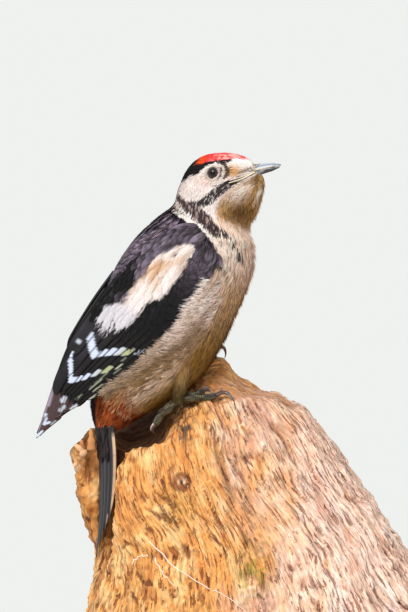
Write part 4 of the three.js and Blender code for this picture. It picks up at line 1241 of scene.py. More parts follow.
def wing_feathers(side, hand):
    """All flight feathers of one wing, each a thin closed vane with its share of the white bars."""
    rng = np.random.default_rng(181)
    place = wing_place(side)
    vanes, barbs = [], []
    for a0, a1, low, tip, half, height, blunt, primary in flight_feathers():
        s = np.linspace(0, 1, 110) ** 0.85
        along = mix(low, tip, s)
        across = mix(a0, a1, smooth(s * 1.05))
        to_tip = (1 - s) / blunt
        shape = np.sqrt(np.clip(1 - np.clip(1 - to_tip, 0, 1) ** 1.7, 0, 1))
        if primary:
            half = np.minimum(half / wing_width(along), (1 - across) / 2)
            across = across + half
        half_line = half * np.maximum(shape, 0.04)
        tilt = 0.3 if primary else 0.42
        rise = height - 0.5 * (1 - smooth(s * 3)) + (0.0 if primary else 0.12 * s)
        grid, sa, sl, lap = slat(place, across, along, half_line, rise, tilt, 0.1)
        strip = a0 + 0.032 if not primary and a0 > 0.33 else None
        white, yellow, brown = wing_marks(sa, sl, lap, wing_width(sl), strip)
        tone = rng.uniform(0.85, 1.25)
        sheen = smooth(field(sa * 9, sl * 16, 41) * 0.9 + 0.2) * (sa < 0.55)
        colour = np.ones((*sa.shape, 3)) * linear("#110f0e") * tone
        colour = paint(
            colour,
            ("#352d3b", sheen * 0.4),
            ("#4b3837", brown * (0.9 if primary else 0.1)),
        )
        edge_mm = sa * wing_width(sl)
        rim = mix(1.6, 0.7, smooth((sl - 0.86) / 0.03))
        colour = paint(colour,
                       ("#b3a3b6", primary * smooth((sl - 0.775) / 0.02) * smooth((rim - edge_mm) / 0.4)))
        fringe = smooth((np.abs(lap) - 0.7) / 0.2) * smooth((s[:, None] - 0.9) / 0.05) * (a0 < 0.3)
        colour = paint(colour, ("#cfc5c8", primary * fringe * 0.6))
        colour = mix(colour, mix(linear("#c8d0e2"), linear("#adb07f"), yellow[..., None]), white[..., None])
        shaft = bell(lap, 0.07) * (np.abs(lap) < 0.3)
        colour = paint(colour, ("#8d7f8c", shaft * (0.3 if primary else 0.12)))
        vanes.append((with_middles(grid), *sa.shape, with_middles(colour)))
        barbs.append(with_ends(np.stack([lap * 4, np.abs(lap) * 3 - sl * WING_MM, 0 * sa], -1)))
    made = joined(f"wing_{hand}_flight_feathers", vanes)
    vector_points(made, "barbs", np.concatenate(barbs))
    return finish_piece(made, wing_vane, "black_feather")


WIDTH = [16, 34, 43, 45, 39, 29, 19.5, 9.5, 2]  # mm across the wing, from bend to tip


def patch_colour(across, along):
    """The white patch: warm and shaded down its middle, cool at its lower end, bright along its edges."""
    tone = field(across * 7, along * 11, 52) + 0.5 * field(across * 24, along * 30, 54)
    warm = mix(linear("#ecdfd9"), linear("#cba27c"),
               (smooth(tone * 1.1 + 0.35) * bell(along - 0.3, 0.14))[..., None])
    return mix(warm, linear("#d3ced2"), smooth((along - 0.42) / 0.04)[..., None])


def flank_rim(across, along):
    """The lower edge of the wing, where flank feathers cover it."""
    return smooth((across - 0.88) / 0.03) * smooth((0.58 - along) / 0.05) * smooth((along - 0.12) / 0.03)


def covert_sheen(p, q, strength):
    """How much painted purple-grey sheen lies on the coverts, in soft patches at the upper edge and over the
    wing's bend.
    """
    smear = smooth(field(p * 8, q * 15, 51) * 1.1 + 0.25) * smooth((0.62 - p) / 0.2)
    return np.clip(smear * strength + bell(q - 0.12, 0.12) * 0.5, 0, 1) * smooth((0.5 - q) / 0.1)


def wing_coverts(side, hand):
    """Small vanes over the wing bone, and the scapulars: black with a painted purple-grey sheen above, black
    below, white between.
    """
    rng = np.random.default_rng(191)
    place = wing_place(side)
    batches = []
    shape_widths = np.array(VANE["widths"])
    for gap, size, half, height, low, high, piece_seed in (
        (2.9, 7.5, 2.2, 0.2, 0.0, 0.50, 1),
        (4.2, 13.0, 3.6, 0.55, 0.10, 0.465, 2),
    ):
        p, q = rooted(place, low, high, gap, gap, 200 + piece_seed, 0.015, 0.985, 0.0, 0.16)
        if piece_seed == 2:
            keep = in_patch(p, q + 0.055) > 0.3
            p, q = p[keep], q[keep]
        n = len(p)
        length = size * rng.uniform(0.85, 1.12, n)
        high_at = height + rng.uniform(-0.06, 0.08, n)
        spots, where = lay(place, p, q, length, half * rng.uniform(0.85, 1.1, n), rng.normal(0, 0.05, n),
                           low=-0.5, high=high_at, shape=VANE, corners=10, thick=0.04, droop=0.03,
                           low_power=1.4)
        light = covert_sheen(where["p"][:, -3], where["q"][:, -3], 0.75)
        dark = linear("#0f0d0d") * np.ones((n, 1))
        colour = mix(dark, linear("#847582"), (light * rng.uniform(0.35, 0.85, n))[:, None])
        s = where["s"]
        # darker towards the root: painted shade; a paler band towards the tip: painted sheen
        dark_web = colour[:, None] * mix(0.6, 1.0, smooth(s * 1.4))[None, :, None]
        dark_web = mix(dark_web, linear("#96879c"),
                       0.6 * bell(s - 0.72, 0.14)[None, :, None] * light[:, None, None])
        at_p, at_q = per_point(where, where["p"]), per_point(where, where["q"])
        beside = np.concatenate([np.outer(shape_widths, where["x"]).ravel(), [0, 0]])
        at_p = at_p + side * half * beside / np.interp(at_q, np.linspace(0, 1, 9), WIDTH)
        stray = 0.6 * rng.uniform(-1, 1, n)[:, None] + 0.8 * field(at_p * 60, at_q * 90, 53)
        white = in_patch(at_p, at_q, stray)
        tint = mix(per_point(where, dark_web), patch_colour(at_p, at_q), white[..., None])
        tint = mix(tint, linear("#b79c86"), flank_rim(at_p, at_q)[..., None])
        batches.append((spots, where, tint))
    # loose barbs that soften the edges of the vanes
    p, q = rooted(place, -0.01, 0.53, 0.5, 1.4, 210, 0.0, 0.99, 0.0, 0.3)
    n = len(p)
    white = in_patch(p, q + 0.02, rng.uniform(-1.5, 1.5, n))
    keep = rng.random(n) < mix(0.55, 1.0, white)
    p, q, white = p[keep], q[keep], white[keep]
    n = len(p)
    length = mix(3.0, 6.2, white) * rng.uniform(0.8, 1.25, n)
    spots, where = lay(place, p, q, length, mix(0.22, 0.26, white), rng.normal(0, 0.13, n), low=-0.3,
                       high=rng.uniform(0.3, 0.5, n) + 0.4 * white, shape=BLADE, thick=0.3)
    light = covert_sheen(where["p"][:, -2], where["q"][:, -2], 1.0) * rng.uniform(0.1, 0.85, n)
    dark = mix(linear("#0f0d0d"), linear("#8c7d8b"), light[:, None])
    white = in_patch(where["p"], where["q"], rng.uniform(-1.6, 1.6, (n, 1)))
    colour = mix(dark[:, None], patch_colour(where["p"], where["q"]), white[..., None])
    colour = mix(colour, linear("#b79c86"), flank_rim(where["p"], where["q"])[..., None])
    # darker towards the root: painted shade
    colour = colour * (1 + rng.normal(0, 0.07, (n, 1, 1))) * mix(0.85, 1.0, where["s"])[None, :, None]
    batches.append((spots, where, colour))
    return feather_piece(f"wing_{hand}_coverts", batches, wing_sheen, "black_feather")


def flank_fringe(side, hand):
    """Loose flank feathers, rooted below the wing, that lap up over its lower edge in hair-like points."""
    rng = np.random.default_rng(241 + side)
    wing = wing_place(side)
    points = np.array([v.co for v in bird_skin.data.vertices]) / MM
    tree = BVHTree.FromPolygons(points.tolist(), [f.vertices[:] for f in bird_skin.data.polygons])

    def place(p, q, height):
        p, q, height = np.broadcast_arrays(p, q, height)
        base = wing(p, q, 0.0)
        over = wing(p, q, height + 0.3)
        flat = base.reshape(-1, 3)
        found = [tree.find_nearest(spot)[:2] for spot in flat.tolist()]
        near = np.array([f[0] for f in found]).reshape(base.shape)
        normal = np.array([f[1] for f in found]).reshape(base.shape)
        under = near + normal * (height[..., None] + 2.6)
        return mix(over, under, smooth((p - 1.0) / 0.16)[..., None])

    q = rng.uniform(0.16, 0.66, 1100)
    p = 1.0 + 0.04 * smooth((q - 0.45) / 0.1) + 0.46 * rng.random(len(q)) ** 1.25
    keep = rng.random(len(q)) < 1 - 0.75 * smooth((p - 1.14) / 0.22)
    p, q = p[keep], q[keep]

    def tint(p, q, s, rng):
        tone = field(q[:, 0] * 22, p[:, 0] * 9, 242)
        colour = mix(linear("#f6ddd0"), linear("#b39c86"), smooth((q[:, :1] - 0.34) / 0.2))
        colour = mix(colour, linear("#a98c74"), (smooth(tone * 1.5) * 0.4)[:, None])
        colour = colour * (1 + rng.normal(0, 0.16, (len(p), 1)))
        golden = smooth((p[:, :1] - 1.1 + 0.12 * rng.random((len(p), 1))) / 0.24) * smooth((q[:, :1] - 0.2)
                                                                                           / 0.12)
        colour = mix(colour, linear("#8f6c3c"), 0.85 * golden)
        share = rng.random((len(p), 1))
        colour = colour * np.where(share < 0.2, 0.45, np.where(share > 0.82, 1.3, 1.0))
        # darker towards the root: painted shade
        return np.clip(colour[:, None] * mix(0.6, 1.08, s)[None, :, None], 0, 0.95)

    lean = -mix(0.85, 0.4, smooth((q - 0.4) / 0.2))
    length = mix(mix(8.5, 11.5, bell(q - 0.26, 0.08)), 9.0, smooth((q - 0.4) / 0.2))
    batch = fans(p, q, rng, length, 0.215, 1.2, 8, lean, 1.6, 0.5, 0.1, place, 0.35, tint, wing)
    return feather_piece(f"coat_flank_{hand}", [batch], down, "buff_feather")


def barb_look(name, roughness, **sockets):
    """A vane's look: fine slanting barbs about half a millimetre apart on either side of the shaft."""
    look, tree, shader = material(name, roughness, **sockets)
    pigment = node(tree, "Attribute", attribute_name="pigment")
    run = node(tree, "Attribute", attribute_name="barbs")
    ribs = node(tree, "TexWave", {"Vector": run.outputs["Vector"]}, bands_direction="Y", in_Scale=0.6,
                in_Distortion=1.6, in_Detail=2.0).outputs[1]
    light = node(tree, "MapRange", {"Value": ribs}, in_To_Min=0.84, in_To_Max=1.12)
    surface(tree, shader, product(tree, pigment.outputs["Color"], light.outputs[0]), ribs, roughness - 0.06,
            roughness + 0.06, ribs, 0.4, 0.04)
    return look


# Small closed vanes: black that turns grey where light grazes the barbs.
wing_sheen = pigment_look("covert_feather", 0.52, 0.7, 0.14, 0.05, Specular_IOR_Level=0.16)
# Stiff oiled vanes: the closest weave of the wing, with the most shine.
wing_vane = barb_look("flight_feather", 0.44, Specular_IOR_Level=0.2)
for side, hand in ((-1, "right"), (1, "left")):
    wing_shell(side, hand)
    wing_coverts(side, hand)
    wing_feathers(side, hand)
    flank_fringe(side, hand)


# ---------------------------------------------------------------- tail
# Stiff pointed tail feathers, laid down both sides of a roof with the middle pair outermost, as a bird props
# itself on bark. Black, with a painted blue-grey gloss along the ridged shafts; the outer pair is barred
# buff-white.
TAIL = {"root": 139.0, "tip": 66.4, "step": 4.4, "roof": 8.8, "fan": 0.27}
TAIL_LINE = [-39.4, -38.0, -37.4, -37.8, -39.2]


def tail_place(count, whole, height):
    """A place on the tail in row mm: count of feathers from the middle, whole from root to tip."""
    line = through(TAIL_LINE, whole) + (whole > 1) * (whole - 1) * -1.6
    angle = count * TAIL["fan"] * (1 - 0.32 * smooth(whole * 1.3 - 0.3))
    radius = TAIL["roof"] + height
    z = TAIL["root"] - whole * (TAIL["root"] - TAIL["tip"])
    return bird_to_row(np.stack([line + TAIL["roof"] - radius * np.cos(angle), radius * np.sin(angle),
                                 z + 0 * angle], -1))


def tail_feathers():
    """Five pairs of stiff vanes, the outer two pairs marked with buff."""
    rng = np.random.default_rng(221)
    vanes, barbs = [], []
    for k in range(10):
        pair, hand = k // 2, 1 if k % 2 else -1
        centre = (pair + 0.5) * hand
        tip = 1.0 - TAIL["step"] * (pair + 0.25) / (TAIL["root"] - TAIL["tip"])
        s = np.linspace(0, 1, 130)
        whole = mix(0.0, tip, s)
        to_tip = (1 - s) / 0.27
        shape = np.clip(to_tip, 0, 1) ** 0.75
        half = 0.92 * np.maximum(shape, 0.03)
        height = -0.22 * pair - 0.1 + 0.0 * s
        grid, sc, sw, lap = slat(tail_place, centre + 0 * s, whole, half, height, -0.16 * hand, 0.12, 9)
        ridge = bell(lap, 0.16)
        split = field(sc * 5, sw * 3, 61)
        colour = np.ones((*sc.shape, 3)) * linear("#121014") * rng.uniform(0.85, 1.2)
        colour = paint(
            colour,
            # blue-grey line down the middle of each vane: painted gloss along the shaft
            ("#5a5c66", ridge * 0.6 * smooth((sw - 0.15) / 0.2)),
            ("#2f2b30", smooth(split * 1.5 + 0.2) * 0.5),
            ("#5a4640", smooth((s[:, None] - 0.9) / 0.08) * 0.6),
        )
        if pair == 4:
            z = TAIL["root"] - sw * (TAIL["root"] - TAIL["tip"])
            strip = smooth((lap * hand - 0.1) / 0.2) * smooth((sw - 0.1) / 0.06) * smooth((0.7 - sw) / 0.1)
            bars = smooth(np.sin(z * 0.62) * 1.6 + 2.3)
            colour = paint(colour, ("#e3c19c", strip * bars * 0.95))
        if pair == 3:
            strip = smooth((lap * hand - 0.2) / 0.2) * smooth((sw - 0.6) / 0.1)
            colour = paint(colour, ("#cdb59b", strip * smooth(np.sin(sw * 46) + 0.4) * 0.7))
        vanes.append((with_middles(grid), *sc.shape, with_middles(colour)))
        barbs.append(with_ends(np.stack([lap * 3, np.abs(lap) * 4 - sw * 73, 0 * sc], -1)))
    made = joined("tail_feathers", vanes)
    vector_points(made, "barbs", np.concatenate(barbs))
    return finish_piece(made, tail_vane, "black_feather", "tail")


def tail_coverts():
    """Black feathers from the rump over the tail's root."""
    rng = np.random.default_rng(231)
    p, q = rooted(tail_place, -0.05, 0.2, 1.1, 2.2, 232, -3.4, 3.4, 0.0, 0.3)
    n = len(p)
    spots, where = lay(tail_place, p, q, rng.uniform(6, 11, n), 0.85, rng.normal(0, 0.1, n), low=-0.4,
                       high=rng.uniform(0.3, 0.7, n), shape=VANE, corners=8, thick=0.1, droop=0.1)
    tint = mix(linear("#100e10"), linear("#3c3032"), rng.uniform(0, 0.7, (n, 1)))[:, None]
    tint = tint * np.ones((1, len(where["s"]), 1))
    return feather_piece("tail_coverts", [(spots, where, tint)], wing_sheen, "black_feather")


# Hard vanes polished on bark: the glossiest feathers, ribbed by their barbs.
tail_vane = barb_look("tail_feather", 0.36)
tail_feathers()
tail_coverts()


# ---------------------------------------------------------------- feet
# Zygodactyl feet: two toes forward and two back, olive-grey, with a row of overlapping scutes along the top,
# fine scales at the sides and padded joints below, painted lighter where scutes and scales stand out and
# darker in the low wrinkles, as painted highlight and shade. Claws are deep, narrow hooks of brown horn
# with a painted highlight along the ridge. The short shanks go straight up into the plumage of the thighs.
LEGS = {
    "right": {
        "ankle": (-0.6, -15.4, 152),
        "foot": (0.8, -17, 147),
        "outer_front": [(6.4, -17.4, 148.4), (13.3, -19.0, 148.6), (19.6, -20.2, 149.6), (8.0, -8.4, -7.4)],
        "inner_front": [(6.2, -13.4, 149.2), (11.2, -10.6, 150.6), (15.0, -9, 152.0), (4.4, 0.4, -2.4)],
        "outer_back": [(-4.6, -17.7, 143.2), (-9.2, -16.6, 139), (-11.6, -15.8, 134.6), (1.4, 3.8, -4.6)],
        "hallux": [(-1.4, -13.4, 146), (-4, -11.6, 144), (-6, -10.4, 142), (-1.6, 1, -4.4)],
    },
    "left": {
        "ankle": (3.5, 14, 163),
        "foot": (15, 15, 169.6),
        "outer_front": [(20, 16.4, 172.8), (24, 17.2, 174.4), (27, 17.6, 173.8), (3.8, 2, -5.4)],
        "inner_front": [(18, 12, 170.2), (20, 10.8, 170.2), (21.8, 10, 169.4), (2.6, -0.6, -6)],
        "outer_back": [(13.4, 19.6, 167.6), (12.4, 23.6, 164.6), (11.8, 26.6, 160.6), (-0.4, 1.6, -8.2)],
        "hallux": [(11.8, 14.6, 166.4), (9.6, 14.4, 164), (8.2, 14.4, 161.6), (-1.6, 0, -4.6)],
    },
}
TOE = {"root": 1.9, "tip": 1.55, "claw": 1.55, "point": 0.16}


def scaled_limb(name, line, wide, tall, replaced, scute=1.05):
    """A scaled shank or toe: scutes step along its top, small scales cover its sides, pads swell below."""
    rows = 120
    t = np.linspace(0, 1, rows)
    path = bird_to_row(through(line, t))
    run = np.concatenate([[0], np.cumsum(np.linalg.norm(np.diff(path, axis=0), axis=1))])
    sides = 26
    angle = np.arange(sides) / sides * 2 * np.pi
    top = smooth((np.sin(angle) + 0.1) / 0.6)
    phase = run[:, None] / scute
    step = (phase % 1) ** 0.7
    fine = field(phase * 1.9, angle * 3.2, 71)
    pads = 0.5 + 0.5 * np.cos(t * 5 * np.pi)
    wrinkle = field(phase * 0.45, angle * 1.6, 72)
    relief_mm = 0.3 * pads[:, None] + 0.3 * top * (step - 0.5) + 0.16 * fine + 0.22 * wrinkle
    relief_mm = relief_mm + 0.3 * pads[:, None] * smooth(-np.sin(angle) / 0.8)
    cap = np.sqrt(np.clip((1.02 - t) / 0.1, 0, 1))[:, None]
    size, relief_mm = wide(t)[:, None] * cap, relief_mm * cap
    points, _ = tube(path, size + relief_mm, size * tall + relief_mm, (0, 0, 1), sides)
    made = mesh_of(name, points, *closed_grid(rows, sides))
    edge = bell(phase % 1, 0.16) + bell(phase % 1 - 1, 0.16)
    # pale on the raised ends of the scutes and lighter where the scales stand out: painted highlight; darker
    # in the low wrinkles: painted shade
    colour = np.ones((rows, sides, 3)) * linear("#3b3524")
    colour = paint(
        colour,
        ("#a39c80", top * smooth((step - 0.45) / 0.5) * smooth(wrinkle * 2 + fine + 0.1) * 0.75),
        ("#1c1912", edge * top * 0.85),
        ("#5f5334", smooth(-np.sin(angle) / 0.7) * np.ones((rows, 1)) * 0.6),
        ("#211d12", smooth(-wrinkle * 2 - 0.1) * 0.6),
    )
    colour_points(made, with_ends(colour * (1 + 0.25 * fine[..., None])))
    return finish_piece(made, leg_scale, "leg_scale", replaced)


def claw(name, back, start, span, scale, replaced):
    """A hooked claw, deeper than wide, from inside the toe's end to its point."""
    back, start, span = (np.array(v, float) for v in (back, start, span))
    ahead = unit(start - back)
    first = start - ahead * 0.3
    rows, sides = 56, 18
    t = np.linspace(0, 1, rows)
    reach = np.linalg.norm(span)
    bend = span - ahead * (span @ ahead)
    leave = (ahead - unit(bend) * 0.75) * reach * 1.5
    arrive = unit(bend - ahead * (span @ ahead) * 0.25) * reach * 1.3
    k = t[:, None]
    curve = (2 * k**3 - 3 * k**2 + 1) * first + (k**3 - 2 * k**2 + k) * leave
    curve = curve + (3 * k**2 - 2 * k**3) * (start + span) + (k**3 - k**2) * arrive
    path = bird_to_row(curve)
    size = scale * mix(TOE["claw"], TOE["point"], t**0.8)[:, None]
    angle = np.arange(sides) / sides * 2 * np.pi
    keel = 1 + 0.12 * bell(angle - np.pi / 2, 0.35) - 0.22 * bell(np.abs(angle - 1.5 * np.pi), 0.5)
    up = unit(np.cross(np.cross(ahead, span), np.gradient(path, axis=0)))
    up = np.where(dot(up, turned(-span, HEADING)) < 0, -up, up)
    points, _ = tube(path, size * 0.7 * keel, size * keel, up, sides)
    made = mesh_of(name, points, *closed_grid(rows, sides))
    # pale along the ridge: painted highlight
    ridge = bell(angle - np.pi / 2, 0.5) * np.ones((rows, 1))
    colour = np.ones((rows, sides, 3)) * linear("#56403a")
    colour = paint(
        colour,
        ("#dccac0", ridge * mix(0.9, 0.4, t[:, None])),
        ("#2a1f20", smooth((t[:, None] - 0.7) / 0.3) * 0.6 * np.ones((1, sides))),
    )
    colour_points(made, with_ends(colour))
    return finish_piece(made, claw_horn, "claw_horn", replaced)


# Dry horny skin: a faint waxy coat over scales that still look dusty between.
leg_scale = pigment_look("leg_scale", 0.48, 0.5, 0.12, 0.05, Coat_Weight=0.1, Coat_Roughness=0.4,
                         Specular_IOR_Level=0.25)
# Claw horn: smoother than the toes, with a sharp light along its ridge.
claw_horn = pigment_look("claw_horn", 0.3, 0.8, 0.08, 0.02, Coat_Weight=0.3, Coat_Roughness=0.2)
for hand, leg in LEGS.items():
    scaled_limb(f"shank_{hand}", [leg["ankle"], np.add(leg["ankle"], leg["foot"]) / 2, leg["foot"]],
                lambda t: mix(1.7, 1.95, t), 1.0, f"tarsus_{hand}", scute=1.5)
    for digit in ("outer_front", "inner_front", "outer_back", "hallux"):
        size = 0.8 if digit == "hallux" else 1.0
        *bones, span = leg[digit]
        scaled_limb(f"digit_{hand}_{digit}", [leg["foot"], *bones],
                    lambda t: size * mix(TOE["root"], TOE["tip"], t) * (1 + 0.1 * np.cos(t * 6 * np.pi)),
                    0.95, f"toe_{hand}_{digit}")
        claw(f"hook_{hand}_{digit}", bones[-2], bones[-1], span, size, f"claw_{hand}_{digit}")


def sleeve(hand, leg, knee, side):
    """Short feathers that hang from the thigh over the top of the shank, buff at the knee and dark towards
    the ankle, the darkening partly their own colour and partly painted shade under the belly.
    """
    rng = np.random.default_rng(251 + side)
    knee, ankle = np.array(knee, float), mix(np.array(leg["ankle"], float), np.array(leg["foot"], float),
                                             0.8)
    run = unit(ankle - knee)
    out = unit(np.cross(run, [0.0, 1.0, 0.0]))
    beside = np.cross(run, out)

    def place(p, q, height):
        angle = p * 2 * np.pi
        radius = mix(4.4, 3.2, smooth(q)) + height
        middle = knee + (ankle - knee) * np.expand_dims(q, -1)
        ring = out * np.expand_dims(np.cos(angle) * radius,
                                    -1) + beside * np.expand_dims(np.sin(angle) * radius, -1)
        return bird_to_row(middle + ring)

    def tint(p, q, s, rng):
        # buff to dark olive-brown from knee to ankle, the darkening partly painted shade under the belly;
        # darker towards the root: painted shade
        colour = mix(linear("#9c7848"), linear("#4a3a1c"), smooth(q[:, 3:4] * 1.6 - 0.7))
        colour = colour * (1 + rng.normal(0, 0.2, (len(p), 1)))
        return colour[:, None] * mix(0.8, 1.05, s)[None, :, None]

    p, q = rooted(place, 0.2, 0.96, 1.4, 1.4, 252, stray=0.25)
    batch = fans(p, q, rng, rng.uniform(4.5, 7, len(p)), 0.26, 1.1, 7, 0.0, 1.0, 0.55, 0.14, place, 0.4,
                 tint)
    return feather_piece(f"coat_thigh_{hand}", [batch], down, "buff_feather")


sleeve("right", LEGS["right"], (5, -12.5, 172), -1)
sleeve("left", LEGS["left"], (12, 13.5, 180), 1)


# ---------------------------------------------------------------- stump
# The perch is the broken top of a long-dead conifer: soft orange-tan wood weathered into fibres that flare
# to the right, split by long cracks and short cross-breaks, and paler and pinker on its right-hand side.
# A dead branch leaves a knot, the tail hangs in a rotted hollow, and white rootlets cling to the face.
SIDE = [
    # height, reach to the left, right, near and far
    [34, -89, 95, -58, 60],
    [48, -85, 86, -53, 56],
    [70, -83, 75, -46, 50],
    [88, -89, 63, -40, 46],
    [106, -94, 50, -34, 43],
    [124, -95, 37.5, -28, 41],
    [140, -90, 25.5, -21.5, 39],
    [158, -84, 10, -17, 36],
    [178, -76, -8, -13, 32],
]
KNOT = np.array([-39.8, 105.9])
GIRTH_MM = 62  # round the stump at mid height, per radian
VOXEL_MM = 1.0


def grain(points):
    """How far round the stump a place lies, in mm of girth at mid height, and how high."""
    x, y, z = points.T
    rows = np.array(SIDE, float)
    left, right, near, far = (np.interp(z, rows[:, 0], rows[:, k]) for k in (1, 2, 3, 4))
    c = (x - (left + right) / 2) / ((right - left) / 2)
    s = np.where(y > 4, (y - 4) / (far - 4), (y - 4) / (4 - near))
    wander = 2.2 * noise(points[:, [0, 2]] / 34, 81) + 0.8 * noise(points[:, [0, 2]] / 10, 82)
    return np.arctan2(c, -s) * GIRTH_MM + wander, z


def dashes(a, z, width, length, seed, share):
    """1 in the middle of short splits along the grain, about so wide and long; share sets how many."""
    at = field(a / width, z / length, seed) + 0.35 * field(a / width * 2.1, z / length * 1.7, seed + 1)
    return smooth((at - share) / 0.22)


def wood_relief(points, normals):
    """Height of the weathered surface in mm, and masks of splits, groove, knot, broken top and rot."""
    a, z = grain(points)
    top = smooth((normals[:, 2] - 0.35) / 0.4)
    x, y = points[:, 0], points[:, 1]
    furrows = field(a / 9, z / 60, 91) + 0.4 * field(a / 4.5, z / 22, 90)
    fibres = field(a / 2.1, z / 11, 92)
    flakes = field(a / 3.2, z / 5.5, 93)
    lumps = noise(points / 7, 94)
    crumbs = noise(points / 1.9, 95)
    lobe = smooth((-x - 70) / 12) * smooth((z - 66) / 12)
    rot = smooth(noise(points[:, [0, 2]] / 24, 89) * 1.6
                 + smooth((82 - z) / 40) * smooth((-x - 5) / 45) * 1.5 - 0.1)
    rot = np.maximum(rot, lobe)
    split = 0.7 * dashes(a, z, 1.7, 9, 96, 0.75)
    split = np.maximum(split, dashes(a, z, 2.6, 24, 98, 0.92))
    split = np.maximum(split, dashes(a * 0.8 + z * 0.5, z * 0.8 - a * 0.5, 2.2, 5, 100, 0.62) * rot)
    knot_gap = np.hypot((x - KNOT[0]) / 0.9, z - KNOT[1]) + 60 * (y > 0)
    knot_gap = knot_gap + 1.1 * field(x / 2, z / 2, 103)
    ring = bell(knot_gap - 3.7, 0.8)
    knot = smooth((3.2 - knot_gap) / 0.9)
    heart = bell(np.hypot(x - KNOT[0] - 0.3, z - KNOT[1] + 0.6), 1.0) * (y < 0)
    whorl = field(x / 1.1, z / 1.1, 102)
    groove, _ = stripe(x, z, [(-22, 120), (-14, 96), (-5, 72), (4, 46), (8, 34)])
    groove = bell(groove, 2.0) * (y < 4) * smooth(0.6 + lumps)
    seam, _ = stripe(x, z, [(-36, 99), (-34, 92), (-28, 87), (-25.5, 79), (-19, 74)])
    seam = smooth(1 - seam / 0.8) * (y < 4)
    split = np.maximum.reduce([split, seam, ring * 0.8, heart * 0.9])
    height = 0.8 * furrows + 0.7 * fibres + 0.5 * np.abs(flakes) * 2
    height = height + mix(0.4, 1.5, rot) * lumps + mix(0.25, 0.9, rot) * crumbs
    height = mix(height, 1.5 * lumps + 1.1 * crumbs + 0.5 * fibres, top * 0.7)
    height = height - 1.3 * split - 1.1 * groove
    height = mix(height, 1.4 + 1.0 * whorl - 1.8 * heart, knot)
    return height, split, groove, knot, top, rot


